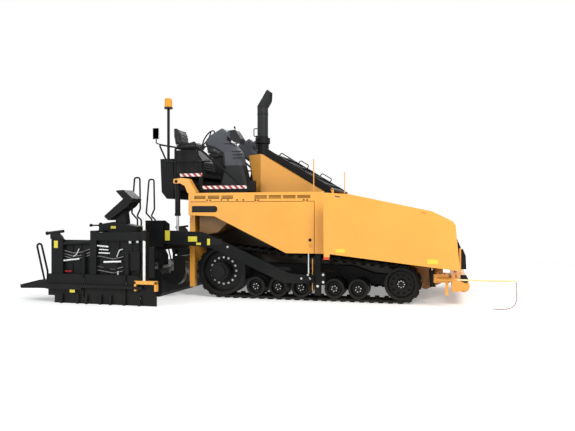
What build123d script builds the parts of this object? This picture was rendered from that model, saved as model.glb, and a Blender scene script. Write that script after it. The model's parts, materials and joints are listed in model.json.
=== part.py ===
from build123d import *

import os
from math import asin, cos, degrees, hypot, pi, radians, sin

# Tracked asphalt paver with an extending screed.
# Millimetres. +X forward to the hopper, +Y to the machine's left, +Z up, ground at Z = 0.
# The origin is midway between the end of the rear step and the tip of the guide rod.
# Sizes across the machine are distances from its centre plane. Pieces that come in
# pairs are drawn on the right side (-Y) and mirrored. Outlines along the machine are
# lists of (X, Z), outlines across it are lists of (|Y|, Z).

os.makedirs("parts", exist_ok=True)

# ---------------------------------------------------------------- clearances
SEAT = 0.3          # left between pieces on different bodies that bear on each other
RUN = 6             # least running gap between pieces that pass each other
PIN = 0.05          # radial play of a pin, shaft or rod in its bore
BITE = 1            # how far a welded piece reaches into the one that carries it

# ---------------------------------------------------------------- tracks and wheels
HULL = 700                      # half width of the hull between the tracks
TRACK_GAP, TRACK_WIDTH = 164, 406
BELT, LUG = 27, 18              # carcass and lug thickness
DRIVE_X, DRIVE_R = -787, 448    # rear wheel centre, radius over the lugs
IDLER_X, IDLER_R = 2155, 305
LUG_PITCH, LUG_LENGTH = 150, 70
GUIDE_LUG = (70, 46, 50)        # length, width, height of a drive lug inside the belt
WHEEL_SLOT = 80                 # between the twin discs, for the drive lugs
DISC_INSET = 14                 # discs stop this short of the belt's edges
ROAD_WHEELS = (-207, 179, 560, 1105, 1488)
ROAD_R, ROAD_RIM, ROAD_HUB = 160, 122, 62
DRIVE_RIM, DRIVE_WEB, DRIVE_HUB, DRIVE_CAP = 345, 300, 150, 110
DRIVE_HUB_REACH = 180           # hub's end beyond the belt's outer edge
IDLER_RIM, IDLER_HUB = 215, 72
IDLER_HOLES, IDLER_HOLE_R, IDLER_HOLE_RING = 10, 22, 145
WHEEL_DISH = 60                 # web's depth behind the rim's face
SLOT_DEPTH = 56                 # how deep the drive lugs' slot is in a wheel
AXLE_R, DRIVE_CASE_R = 55, 230
BOGIES = ((0, 1), (3, 4))       # road wheels that share a rocking beam
BOGIE_T, BOGIE_EYE, BOGIE_PIVOT_RISE = 16, 62, 150
BEAM_W = 140
BEAM = ((-560, 250), (-560, 560), (1330, 540), (1700, 420), (2230, 385), (2330, 305), (2230, 225),
        (1700, 250))            # track frame's side view
BEAM_WINDOWS = ((-40, 330), (700, 330))     # rear end and length of each lightening window
BEAM_WINDOW_Z, BEAM_WINDOW_H = 455, 90

# ---------------------------------------------------------------- chassis
HULL_REAR, HULL_FRONT = -1290, 940
HULL_BOTTOM, TUNNEL_FLOOR, TUNNEL_ROOF, HULL_TOP = 320, 560, 1000, 1500
PLATE = 40
NOSE_REAR, NOSE_FOOT, NOSE_X = 2250, (2500, 165), 2786
NOSE_CHIN = 292                 # height where the nose plate starts to curve back
NOSE_BEND = 90
APRON_LUG_ROOT = 86             # how far behind the nose the apron's lugs start
DIVIDER = 30                    # plate between the two conveyors
ENGINE = ((-270, 720), 430, 1780)   # X range, half width, top

# ---------------------------------------------------------------- tow points and arms
COLUMN_GAP, COLUMN_W = 10, 75
COLUMN = (806, 904)
COLUMN_FOOT, COLUMN_TOP = 103, 1250
COLUMN_TIE = 980                # underside of the beam that ties a column to the hull
TOW_X, TOW_Z, TOW_PIN_R = 720, 366, 35
TOW_BLOCK = 120                 # height of the sliding block
TOW_TRAVEL = 100
TOW_RAM_X, TOW_ROD_R, TOW_RAM_R, TOW_RAM_FOOT = 700, 15, 30, 770
PANEL_GAP, PANEL_T = 9, 36
ARM_GAP, ARM_T = 10, 60
ARM = ((-1880, 905), (-930, 850), (330, 300), (TOW_X, 300), (TOW_X + 64, 366), (TOW_X, 432), (430, 447),
       (-780, 985), (-1080, 1100), (-1880, 1130))
ARM_BENDS = ((1, 450), (2, 500), (3, 60), (5, 60), (6, 420), (7, 500), (8, 300))  # corner, radius
LIFT_X, LIFT_TOP, LIFT_FOOT = -1575, 1950, 1040
LIFT_R, LIFT_ROD_R, LIFT_EYE_R, LIFT_EYE_HALF = 45, 24, 40, 56
LIFT_CAP_R, LIFT_CAP_HALF = 52, 48      # eye at the barrel's top
LIFT_BARREL_END, LIFT_BORE_TOP = 1365, 1870
LIFT_PIN_R, ARM_LUG_R = 20, 30
BRIDGE_T = 30                   # plate that carries an arm's rear end

# ---------------------------------------------------------------- widths that follow
TRACK_IN = HULL + TRACK_GAP
TRACK_OUT = TRACK_IN + TRACK_WIDTH
TRACK_MID = (TRACK_IN + TRACK_OUT) / 2
COLUMN_IN = TRACK_OUT + COLUMN_GAP
COLUMN_OUT = COLUMN_IN + COLUMN_W
PANEL_IN = COLUMN_OUT + PANEL_GAP
PANEL_OUT = PANEL_IN + PANEL_T
ARM_IN = PANEL_OUT + ARM_GAP
ARM_OUT = ARM_IN + ARM_T
BRIDGE_IN = ARM_IN - BRIDGE_T
LIFT_Y = BRIDGE_IN - ARM_GAP - LIFT_EYE_HALF

# ---------------------------------------------------------------- side panels and deck
PANEL_REAR, PANEL_FRONT = -1340, 960
PANEL_TOP, DOOR_TOP, SILL = 1750, 1597, 770
DOOR_FRONT, DOOR_GAP = 807, 8
DOOR_SLOPE = ((-875, 1360), (348, SILL))
DOOR_HINGES = (-978, -140, 668)
KNUCKLE_R, KNUCKLE_L = 9, 70
LOUVRES = ((-1237, 3, 205, 241), (-182, 4, 212, 239))   # first edge, number, length, pitch
LOUVRE_Z, LOUVRE_SLOT, LOUVRE_PITCH, LOUVRE_ROWS = 1675, 12, 20, 3
DOOR_PULL = (761, 895, 54, 14, 32)  # X, Z, length, height of a slot, pitch of the two
DECK_T, DECK_IN = 40, 640       # side decks run in to here beside the hood
TANK = ((-1180, 1060), (-1180, 1400), (-380, 1400), (-380, 1243), (-696, 1243), (-850, 1098), (-1083, 1048))
TANK_GAP = 60                   # from the hull's wall, and inside the panel
OUTRIGGERS = (-1250, -420, 300, 860)
OUTRIGGER_T, OUTRIGGER_Z = 60, (1420, 1600)
REAR_STRIP = ((-1382, 165), (-1382, 1377), (-1340, 1377), (-1300, 1145), (-1300, 165))
REAR_STRIP_T, REAR_STRIP_INSET = 130, 24
TANK_HANGERS = (-1150, -420)    # X of the straps that carry the tank

# ---------------------------------------------------------------- hood, cover, exhaust
HOOD_OUT, HOOD_WALL = 980, 30
HOOD_REAR_TOP, HOOD_REAR_FOOT, HOOD_BEND, HOOD_TOE = -490, -330, -206, 900
HOOD_TOP = 2418
HOOD_CORNER = 260               # how far in each rear corner is cut off, seen from above
COVER_T, COVER_OUT, COVER_RAIL = 60, 760, (70, 60)  # plate, half width, rail's width and height
COVER_HINGE = (986, 1806)
COVER_PIN_R, COVER_EAR_R, COVER_EAR_T = 12, 24, 30
COVER_BARS, COVER_BAR_W = (150, 470, 790, 1110), 50     # distances up the slope
COVER_SLATS, COVER_SLAT_W = 5, 22
COVER_GRIPS = ((330, 560), (860, 1060))             # feet of the grab loops up the slope
GRIP_R, GRIP_RISE = 9, 60
STACK_X, STACK_Y, STACK_R, STACK_WALL = -390, -250, 98, 7
STACK_BASE_R, STACK_BASE_TOP, STACK_LIP = 135, 2780, 14
STACK_ELBOW, STACK_RISE, STACK_MOUTH = 3345, 265, -235  # elbow height, rise above it, plane of the mouth
STACK_LEAN = 0.62               # forward per unit of rise above the elbow
STACK_GRIP = (2820, 2960, 70)   # feet and reach of the loop behind the pipe

# ---------------------------------------------------------------- operator platform
LOW_DECK, HIGH_DECK = 1884, 2096
LOW_REAR, LOW_FRONT = -1172, -376
HIGH_REAR, HIGH_FRONT = -1595, -1162
PLATFORM_REAR_HALF = 940
DECK_HORN_GAP = 48              # between the decks' edge and the horns that carry the lift rams
SKIRT = 66                      # depth of the decks' edge
SUB_DECK = (-1720, 1820)        # rear end and underside of the frame below the seats
SUB_DECK_TAIL = -1790
STEP_BOX = ((-341, -253), (1781, 1955), 120)    # X, Z, width of the box beside the hood
STAIR_HEAD = (-1424, 1990)      # where the stair's side leaves the upper deck
REAR_BOX = ((-2060, 1790), (-2085, 2380), (-1800, 2380), (-1790, 1900), (-1790, 1670), (-1960, 1670))
SEAT_Y, SEAT_W = 750, 480
SEAT_BASE = ((-1790, 2360), (-1790, 2520), (-1380, 2520), (-1240, 2300), (-1200, 2160), (-1220, HIGH_DECK),
             (-1780, HIGH_DECK), (-1780, 2250))
SEAT_PAN = ((-1790, 2520), (-1790, 2620), (-1560, 2640), (-1400, 2690), (-1365, 2650), (-1385, 2560),
            (-1440, 2520))
SEAT_FOLDS, SEAT_FOLD = ((-1235, 90), (-1785, 40)), (4, 60, 45, 14)
# ... middle and depth of the front and rear folds; number, first height, pitch and width
SEAT_BACK = ((-1735, 2600), (-0.19, 0.98), 340, 120, 150)   # foot, lean, height, thickness, top inset
CONSOLE_W = 340
CONSOLE = ((-990, LOW_DECK), (-900, 2210), (-930, 2440), (-1070, 2530), (-1225, 2575), (-1262, 2650),
           (-1157, 2780), (-941, 2895), (-834, 2820), (-860, 2690), (-754, 2623), (-621, 2469), (-562, 2230),
           (-470, LOW_DECK))
CONSOLE_PAD = ((-860, 2780), (-834, 2853), (-701, 2861), (-595, 2700), (-621, 2619), (-727, 2648), (-800, 2710))
CONSOLE_BEVEL = 45
STEER_HUB, STEER_AXIS = (-1240, 2735), (-0.84, 0.5426)
STEER_R, STEER_GRIP_R, STEER_BOSS_R, STEER_SHAFT_R = 165, 12, 42, 18
STEER_SHAFT = 175               # shaft's length below the wheel
RAIL_INSET, RAIL_R, RAIL_BEND = 50, 19, 55      # rails stand this far in from the decks' edge
RAIL = ((-1695, 2553), (-1282, 2549), (-501, 1921))     # top rail: rear, bend and front foot
RAIL_MID, RAIL_MID_FRONT, RAIL_THIN = 2300, -1052, 15     # second rail: height, end, radius
RAIL_FOOT_BACK = 40             # the front leg stands this far behind the top rail's end
BEACON = (-1946, -900)
BEACON_POLE_R, BEACON_FOOT, BEACON_TOP, BEACON_R = 24, 3273, 3457, 68
BEACON_BASE, BEACON_SHOULDER = (8, 22), (4, 14, 18)     # base's rim; taper, depth and inset of the top
MIRROR = ((-2046, -1938), (2690, 2875), 1300)       # X, Z and outer face of the mirror's head
MIRROR_T, MIRROR_ARM_R = 40, 10
MIRROR_ARM = ((-1992, 2700), (-1992, 2620), (-1938, 2600), (-1860, 2582))
MIRROR_FRAME = ((-1853, RAIL_MID), (-2002, 2609))       # bends of the frame behind the rail
HORN = ((-1625, 1915), (-1625, 1990), (-1484, 2006), (-1353, 1992), (-1204, PANEL_TOP),
        (-1366, PANEL_TOP), (-1418, 1872), (-1500, 1915))
HORN_HALF = 66
HORN_SLOT = (85, 62)            # fork's slot behind and in front of the ram's pin

# ---------------------------------------------------------------- hopper
HOPPER_REAR = 1018
WING_OUT, WING_T = 1700, 24
WING_SIDE = ((HOPPER_REAR, 796), (HOPPER_REAR, 1723), (1410, 1697), (2628, 1435), (2923, 1287), (2960, 1232),
             (3021, 569))
WING_LIP = 30                   # depth of the folded edges, inwards
WING_SLOTS, WING_SLOT = ((1229, 1655), (2513, 1410)), (84, 26)
WING_HINGE_GAP, WING_HINGE_Z, WING_HINGE_R = 80, 760, 28
WING_FLOOR_FRONT, WING_FLOOR_T, WING_FLOOR_RISE = 2920, 26, 78
WING_RIBS, WING_RIB_T, WING_RIB_DEPTH = (1450, 1750, 2050, 2350), 20, 80
WING_LUG_X, WING_LUG_INSET, WING_LUG_Z = 2620, 320, 700
RAM_FOOT_OUT, RAM_FOOT_Z = 150, 280     # beyond the hull's side, height
RAM_R, RAM_ROD_R, RAM_STROKE_FOOT, RAM_BARREL = 42, 24, 60, 400
RAM_LUG_T, RAM_EYE_R = 14, 48
BULKHEAD, BULKHEAD_TOP = 40, 1700
CONVEYOR_HALF, CONVEYOR_PITCH, CONVEYOR_BAR = 290, 140, (40, 34)
CONVEYOR_FRONT, CONVEYOR_CHAIN = 2700, (30, 26)
APRON_HINGE, APRON_TOP, APRON_PIN_R, APRON_T = (3010, 600), 930, 25, 26
APRON_EAR_T, APRON_RIBS = 30, (-420, 0, 420)
APRON_LUG = (40, 45)            # lug's reach ahead of the hinge, and half height
APRON_CREST = (60, 48)          # rubber edge's half inset and rise above the plate

# ---------------------------------------------------------------- push rollers, guide rod
PUSH_X, PUSH_Z, PUSH_R, PUSH_HALF = 3085, 300, 95, 1250
PUSH_PIVOT_X, PUSH_PIN_R, PUSH_BOSS_R = 2850, 25, 55
PUSH_BEAM = (2915, 2975)
PUSH_BEAM_H, PUSH_ARM_T = 180, 60
GUIDE_Y, GUIDE_Z, GUIDE_R, GUIDE_TIP = 1484, 420, 13, 3820
GUIDE_BRACKET = (2816, 2863, 186, 514)      # rear, front, foot, top of the hanging strip
GUIDE_SLEEVE_R, GUIDE_SLEEVE = 27, (2700, 2980)
GUIDE_BEAM_R, GUIDE_STRIP_PROUD = 25, 12
CHAIN_R = 8
CHAIN_ROUTE = ((3806, 1484, 406.7), (3808, 1484, 335), (3815, 1483, 245), (3814, 1480, 150),
               (3790, 1478, 75), (3730, 1476, 25), (3650, 1478, 10.5), (3570, 1481, 8.8),
               (3490, 1480, 8.3))

# ---------------------------------------------------------------- augers
AUGER_X, AUGER_Z, AUGER_R = -1587, 400, 195
AUGER_TUBE_R, AUGER_PITCH, AUGER_BLADE = 48, 300, 14
AUGER_STUB = 40                 # tube left bare at each end
CASE_HALF, CASE_R = 50, 110
AUGER_RAIL = (-1480, 615, 700)  # rear, underside, top of the beam above, which meets the rear strips
HANGER_T, HANGER_R, HANGER_NECK = 14, 185, 60

# ---------------------------------------------------------------- screed
SCREED_INSET = 30               # main box stops this far inside the arms' outer face
SCREED = ((-2340, 0), (-2340, 470), (-1870, 470), (-1800, 380), (-1800, 60), (-1850, 0))
BRIDGE = ((-1890, 470), (-1890, 1250), (-1774, 1290), (-1690, 1230), (-1690, 870), (-1774, 840), (-1820, 470))
BRIDGE_BEAM_DEPTH, BRIDGE_BEAM = 95, (780, 900)     # beam between the plates: depth, Z range
EXT_WIDTH, EXT_OVERLAP = 1110, 190          # extender's box, and how much of it laps the main box
EXT = ((-2930, 40), (-2930, 430), (-2350, 430), (-2350, 0), (-2890, 0))
TUBE_X, TUBE_R, TUBE_INNER = -2445, 32, 400
TUBES_RIGHT, TUBES_LEFT = (560, 800), (660, 900)
GUIDE_PLATE_T, GUIDE_PLATE_Y = 40, 460
GUIDE_PLATE = ((-2515, 490), (-2515, 960), (-2330, 960), (-2160, 640), (-2160, 470), (-2340, 470), (-2340, 490))
FRAME_T = 60
FRAME_RAIL = (-3130, -1640, 390, 456)       # rear, front, underside, top
FRAME_POSTS = ((-3238, -3031, 1000), (-2542, -2437, 1040), (-1640, -1560, 1040), (-2690, -2640, 800),
               (-1940, -1880, 800))         # rear, front, top of each post
FRAME_TOP_BEAM = (-2542, -1560, 986, 1111)
FRAME_CYLINDER = (-3030, 930, 28)           # rear end, height and radius of the thrust tube
FRAME_SCREWS, SCREW_R = ((-2644, 114), (-1911, 119)), 14    # X and foot of the levelling screws
REAR_STEP = ((-3820, 262), (-3805, 205), (-3490, 215), (-2928, 215), (-2928, 345), (-3473, 345))
STEP_INSET = 560
STEP_LOOP = ((-3440, 345), (-3580, 900), (-3500, 930), (-3380, 480), (-3380, 345))
LOOP_R, LOOP_BEND = 16, 40
TONGUE, TONGUE_REAR, TONGUE_Z = 330, -3050, (440, 470)
TONGUE_RAIL = ((-2890, 470), (-2890, 1300), (-3010, 1420), (-2950, 2100), (-2840, 2100), (-2830, 1500),
               (-2900, 1360), (-2810, 1290), (-2810, 470))
TONGUE_RAIL_Y = 290
GATE_DEPTH, GATE_T, GATE_RIB_T = 79.7, 26, 22
GATE = ((-3158, 0), (-3158, 114), (-3274, 114), (-3274, 456), (-1731, 456), (-1442, 290), (-1400, 130),
        (-1400, 0))
GATE_BEAM = ((-3274, 218), (-3274, 300), (-1610, 300), (-1610, 255), (-2651, 255), (-2651, 218))
GATE_RIBS = (-3008, -2722, -2568, -2324, -2151, -1911, -1664)
GATE_RIB = (150, 30)            # height, and depth lost at the top
POD_Y, POD_HALF = 2000, 140
POD_PANEL = ((-2477, 1360), (-2392, 1292), (-2050, 1520), (-1990, 1600), (-2130, 1640))
POD_VISOR = ((-2271, 1772), (-2127, 1781), (-1960, 1639), (-1978, 1575), (-2090, 1590))
POD_BOX = ((-2587, 1115), (-2563, 1235), (-2319, 1273), (-1905, 1200), (-1905, 1085), (-2380, 1085))
POD_NECK = ((-2330, 1085), (-2290, 1400), (-2150, 1480), (-2120, 1260), (-2200, 1085))
POD_FOOT = (-2542, -2437)       # X range of the bracket on the frame's top beam
POD_BOX_INSET, POD_FOOT_T = 20, 26
CRANK = (-2810, 1213, 12)       # rear end, height and radius of the crank's shaft
CRANK_WHEEL, CRANK_KNOB = (180, 25, 45), (30, 24)       # distance, thickness, radius; length, radius

# ---------------------------------------------------------------- lengths that follow
PLATFORM_HALF = LIFT_Y - HORN_HALF - DECK_HORN_GAP
RAIL_Y = PLATFORM_HALF - RAIL_INSET
STACK_TIP = STACK_ELBOW + STACK_RISE
SCREED_HALF = ARM_OUT - SCREED_INSET
SCREED_REAR, SCREED_TOP = SCREED[0][0], SCREED[1][1]
EXT_IN = SCREED_HALF - EXT_OVERLAP
EXT_OUT = EXT_IN + EXT_WIDTH
FRAME_OUT = EXT_OUT + FRAME_T
GATE_IN = FRAME_OUT + SEAT
WING_HINGE_Y = HULL + WING_HINGE_GAP
WING_LUG_Y = WING_OUT - WING_LUG_INSET
RAM_FOOT_Y = HULL + RAM_FOOT_OUT
APRON_HALF = HULL - BITE * 10


def keep(piece, name):
    """Label a finished piece and write it under that name."""
    piece.part.label = name
    export_step(piece.part, f"parts/{name}.step")


def keep_pair(piece, name):
    """Write a right-hand piece, and its mirror image for the left side."""
    keep(piece, f"{name}_right")
    with BuildPart() as twin:
        mirror(piece.part, about=Plane.XZ)
    keep(twin, f"{name}_left")


def side_plate(corners, inner, thick, mode=Mode.ADD, bend=0):
    """A plate along the machine: an XZ outline, standing on the right from |Y| = inner."""
    with BuildSketch(Plane.XZ.offset(inner)) as outline:
        with BuildLine():
            Polyline(*corners, close=True)
        make_face()
        if bend:
            fillet(outline.vertices(), bend)
    extrude(outline.sketch, amount=thick, mode=mode)


def cross_plate(corners, rear, thick, mode=Mode.ADD):
    """A plate across the machine on the right: a (|Y|, Z) outline, from X = rear forwards."""
    with BuildSketch(Plane.YZ.offset(rear)) as outline:
        with BuildLine():
            Polyline(*[(-y, z) for y, z in corners], close=True)
        make_face()
    extrude(outline.sketch, amount=thick, mode=mode)


def block(x, y, z, mode=Mode.ADD):
    """A rectangular bar between the given pairs of X, Y and Z."""
    with Locations(((x[0] + x[1]) / 2, (y[0] + y[1]) / 2, (z[0] + z[1]) / 2)):
        Box(abs(x[1] - x[0]), abs(y[1] - y[0]), abs(z[1] - z[0]), mode=mode)


def bar(start, end, radius, bore=0, mode=Mode.ADD):
    """A round bar, or a tube where it has a bore, from one point to another."""
    run = Vector(*end) - Vector(*start)
    with BuildSketch(Plane(origin=start, z_dir=run)) as section:
        Circle(radius)
        if bore:
            Circle(bore, mode=Mode.SUBTRACT)
    extrude(section.sketch, amount=run.length, mode=mode)


def cross_bar(x, z, inner, outer, radius, bore=0, mode=Mode.ADD):
    """A round bar across the right side, at X and Z, from |Y| = inner to outer."""
    bar((x, -inner, z), (x, -outer, z), radius, bore, mode)


def bent_tube(points, radius, bend):
    """A tube bent to the given radius at each inner point."""
    with BuildLine() as route:
        FilletPolyline(*points, radius=bend)
    with BuildSketch(Plane(origin=route.line @ 0, z_dir=route.line % 0)) as section:
        Circle(radius)
    sweep(section.sketch, path=route.line)


# ================================================================ tracks
span = IDLER_X - DRIVE_X
lean = 2 * asin((DRIVE_R - IDLER_R) / hypot(span, DRIVE_R - IDLER_R))   # upper run's fall
arc_front = IDLER_R * (pi - lean)
arc_rear = DRIVE_R * (pi + lean)
loop_length = 2 * span + arc_front + arc_rear


def loop_line(depth):
    """Draw the closed loop that lies a depth inside the track's outer face."""
    rear, front = DRIVE_R - depth, IDLER_R - depth
    top_front = (IDLER_X + front * sin(lean), IDLER_R + front * cos(lean))
    top_rear = (DRIVE_X + rear * sin(lean), DRIVE_R + rear * cos(lean))
    Line((DRIVE_X, depth), (IDLER_X, depth))
    ThreePointArc((IDLER_X, depth), (IDLER_X + front, IDLER_R), top_front)
    Line(top_front, top_rear)
    ThreePointArc(top_rear, (DRIVE_X - rear, DRIVE_R), (DRIVE_X, depth))


def loop_station(run):
    """Point on the lugs' outer face and its outward angle, a run forwards from under the rear wheel."""
    run = run % loop_length
    if run < span:
        return DRIVE_X + run, 0, -pi / 2
    run -= span
    if run < arc_front:
        turn = -pi / 2 + run / IDLER_R
        return IDLER_X + IDLER_R * cos(turn), IDLER_R + IDLER_R * sin(turn), turn
    run -= arc_front
    if run < span:
        turn = pi / 2 - lean
        return (IDLER_X + IDLER_R * cos(turn) - run * cos(lean),
                IDLER_R + IDLER_R * sin(turn) + run * sin(lean), turn)
    turn = pi / 2 - lean + (run - span) / DRIVE_R
    return DRIVE_X + DRIVE_R * cos(turn), DRIVE_R + DRIVE_R * sin(turn), turn


def loop_lugs(shift, outer_depth, inner_depth, length):
    """Draw one lug at each pitch round the loop, between two depths inside the outer face."""
    for number in range(lug_count):
        x, z, turn = loop_station((number + shift) * loop_length / lug_count)
        middle = (outer_depth + inner_depth) / 2
        with Locations(Location((x - cos(turn) * middle, z - sin(turn) * middle, 0),
                                (0, 0, degrees(turn)))):
            Rectangle(inner_depth - outer_depth, length)


lug_count = round(loop_length / LUG_PITCH)
guide_length, guide_width, guide_height = GUIDE_LUG
with BuildPart() as track:
    with BuildSketch(Plane.XZ.offset(TRACK_IN)) as belt:
        with BuildLine():
            loop_line(LUG)
        make_face()
        offset(amount=-BELT, mode=Mode.SUBTRACT)
        loop_lugs(0.5, 0, LUG + BELT / 2, LUG_LENGTH)
    extrude(amount=TRACK_WIDTH)
    with BuildSketch(Plane.XZ.offset(TRACK_MID - guide_width / 2)) as drive_lugs:
        loop_lugs(0, LUG + BELT - BITE, LUG + BELT + guide_height, guide_length)
    extrude(amount=guide_width)
keep_pair(track, "track")

# ================================================================ wheels
DISC_IN = TRACK_IN + DISC_INSET
DISC_OUT = TRACK_OUT - DISC_INSET
AXLE_Z = LUG + BELT + SEAT + ROAD_R


def wheel(x, z, radius, rim, web, hub_radius, hub_reach):
    """A wheel of two discs, turned about its axle line at X, Z on the right side."""
    slot_in, slot_out = TRACK_MID - WHEEL_SLOT / 2, TRACK_MID + WHEEL_SLOT / 2
    dish = DISC_OUT - WHEEL_DISH
    section = ((0, DISC_IN), (radius, DISC_IN), (radius, slot_in), (web, slot_in), (web, slot_out),
               (radius, slot_out), (radius, DISC_OUT), (rim, DISC_OUT), (rim - WHEEL_DISH / 3, dish),
               (hub_radius + WHEEL_DISH / 6, dish), (hub_radius, hub_reach), (0, hub_reach))
    with BuildSketch(Plane.XY.offset(z)) as half:
        with BuildLine():
            Polyline(*[(x + reach, -y) for reach, y in section], close=True)
        make_face()
    revolve(half.sketch, axis=Axis((x, 0, z), (0, -1, 0)))


with BuildPart() as drive_wheels:
    wheel(DRIVE_X, DRIVE_R, DRIVE_R - LUG - BELT - SEAT, DRIVE_RIM, DRIVE_WEB, DRIVE_HUB,
          TRACK_OUT + DRIVE_HUB_REACH - PANEL_T)
    cross_bar(DRIVE_X, DRIVE_R, DISC_OUT, TRACK_OUT + DRIVE_HUB_REACH, DRIVE_CAP)
    mirror(about=Plane.XZ)
keep(drive_wheels, "drive_wheels")

with BuildPart() as road_wheels:
    for x in ROAD_WHEELS:
        wheel(x, AXLE_Z, ROAD_R, ROAD_RIM, ROAD_R - SLOT_DEPTH, ROAD_HUB, DISC_OUT - DISC_INSET)
    idler_r = IDLER_R - LUG - BELT - SEAT
    wheel(IDLER_X, IDLER_R, idler_r, IDLER_RIM, idler_r - SLOT_DEPTH, IDLER_HUB, DISC_OUT - DISC_INSET)
    with Locations(Location((IDLER_X, -DISC_OUT + WHEEL_DISH, IDLER_R), (90, 0, 0))):
        with PolarLocations(IDLER_HOLE_RING, IDLER_HOLES):
            Cylinder(IDLER_HOLE_R, WHEEL_DISH, mode=Mode.SUBTRACT)
    mirror(about=Plane.XZ)
keep(road_wheels, "road_wheels")

with BuildPart() as track_frames:
    side_plate(BEAM, HULL, BEAM_W, bend=40)
    with BuildSketch(Plane.XZ.offset(HULL)) as windows:
        for start, length in BEAM_WINDOWS:
            with Locations((start + length / 2, BEAM_WINDOW_Z)):
                SlotOverall(length, BEAM_WINDOW_H)
    extrude(windows.sketch, amount=BEAM_W, mode=Mode.SUBTRACT)
    for x in ROAD_WHEELS:
        cross_bar(x, AXLE_Z, HULL + BEAM_W / 2, DISC_IN, AXLE_R)
    for pair in BOGIES:
        first, second = ROAD_WHEELS[pair[0]], ROAD_WHEELS[pair[1]]
        with BuildSketch(Plane.XZ.offset(HULL + BEAM_W)) as rocker:
            for x, rise in ((first, 0), (second, 0), ((first + second) / 2, BOGIE_PIVOT_RISE)):
                with Locations((x, AXLE_Z + rise)):
                    Circle(BOGIE_EYE)
            make_hull()
        extrude(rocker.sketch, amount=BOGIE_T)
    cross_bar(DRIVE_X, DRIVE_R, HULL, DISC_IN, DRIVE_CASE_R)
    cross_bar(IDLER_X, IDLER_R, HULL + BEAM_W / 2, DISC_IN, AXLE_R)
    mirror(about=Plane.XZ)
keep(track_frames, "track_frames")

# ================================================================ chassis
deck_rear, deck_front = HOPPER_REAR + 60, NOSE_X - 26
with BuildPart() as chassis:
    with BuildSketch(Plane.XZ.offset(-HULL)) as keel:
        with BuildLine():
            Polyline((HULL_REAR, HULL_BOTTOM), (NOSE_REAR, HULL_BOTTOM), NOSE_FOOT, (NOSE_X, NOSE_CHIN),
                     (NOSE_X, TUNNEL_FLOOR), (HULL_REAR, TUNNEL_FLOOR), close=True)
        make_face()
        fillet(keel.vertices().sort_by(Axis.X)[2:4].sort_by(Axis.Y)[0:1], NOSE_BEND)
    extrude(amount=2 * HULL)
    block((HULL_REAR, HULL_FRONT), (-HULL, -HULL + PLATE), (TUNNEL_FLOOR - BITE, HULL_TOP))
    block((HULL_REAR, HULL_FRONT), (-HULL + PLATE / 2, 0), (TUNNEL_ROOF, TUNNEL_ROOF + PLATE))
    block((HULL_REAR, HULL_FRONT), (-DIVIDER / 2, 0), (TUNNEL_FLOOR - BITE, TUNNEL_ROOF + BITE))
    block((HULL_FRONT - BITE, deck_front), (-HULL, -HULL + PLATE), (TUNNEL_FLOOR - BITE, WING_HINGE_Z))
    block((deck_rear, deck_front), (-WING_HINGE_Y + WING_HINGE_R + SEAT, -HULL),
          (WING_HINGE_Z - PLATE, WING_HINGE_Z))
    for face in (WING_LUG_X - RAM_R - SEAT - RAM_LUG_T, WING_LUG_X + RAM_R + SEAT):
        cross_plate(((HULL - BITE, RAM_FOOT_Z - RAM_R), (RAM_FOOT_Y + RAM_R, RAM_FOOT_Z - RAM_R),
                     (RAM_FOOT_Y + RAM_R, RAM_FOOT_Z + RAM_R), (HULL - BITE, RAM_FOOT_Z + 2 * RAM_R)),
                    face, RAM_LUG_T)
    ear = PUSH_BEAM_H / 2 - RUN
    for height in (PUSH_Z - ear, PUSH_Z + ear - 2 * RUN):
        with BuildSketch(Plane.XY.offset(height)) as push_ear:
            with Locations((PUSH_PIVOT_X, 0)):
                Circle(PUSH_BOSS_R - RUN)
            with Locations(((NOSE_X + PUSH_PIVOT_X) / 2 - PLATE / 2, 0)):
                Rectangle(PUSH_PIVOT_X - NOSE_X + PLATE, 2 * PUSH_BOSS_R)
        extrude(push_ear.sketch, amount=2 * RUN)
    bar((PUSH_PIVOT_X, 0, PUSH_Z - ear + RUN), (PUSH_PIVOT_X, 0, PUSH_Z + ear - RUN), PUSH_PIN_R)
    lug_reach, lug_half = APRON_LUG
    side_plate(((NOSE_X - APRON_LUG_ROOT, TUNNEL_FLOOR), (NOSE_X - APRON_LUG_ROOT, WING_HINGE_Z - PLATE - SEAT),
                (APRON_HINGE[0] + lug_reach, APRON_HINGE[1] + lug_half),
                (APRON_HINGE[0] + lug_reach, TUNNEL_FLOOR)),
               APRON_HALF + SEAT, APRON_EAR_T)
    cross_bar(*APRON_HINGE, APRON_HALF, APRON_HALF + 2 * APRON_EAR_T, APRON_PIN_R + PIN, mode=Mode.SUBTRACT)
    mirror(about=Plane.XZ)
keep(chassis, "chassis")

engine_x, engine_half, engine_top = ENGINE
with BuildPart() as engine:
    block(engine_x, (-engine_half, engine_half), (TUNNEL_ROOF + PLATE, engine_top))
keep(engine, "engine")

# side structure over the tracks: sill, outriggers and tank
with BuildPart() as side_frames:
    block((HULL_REAR, HULL_FRONT), (-HULL - TANK_GAP, -HULL), (TANK[1][1] - PLATE, HULL_TOP))
    for x in OUTRIGGERS:
        block((x - OUTRIGGER_T / 2, x + OUTRIGGER_T / 2), (-PANEL_IN, -HULL), OUTRIGGER_Z)
    side_plate(TANK, HULL + TANK_GAP - BITE, PANEL_IN - HULL - 2 * TANK_GAP)
    for x in TANK_HANGERS:
        block((x - OUTRIGGER_T / 2, x + OUTRIGGER_T / 2),
              (-PANEL_IN + TANK_GAP, -HULL - TANK_GAP), (TANK[1][1] - BITE, OUTRIGGER_Z[0] + BITE))
    mirror(about=Plane.XZ)
keep(side_frames, "side_frames")

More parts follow.
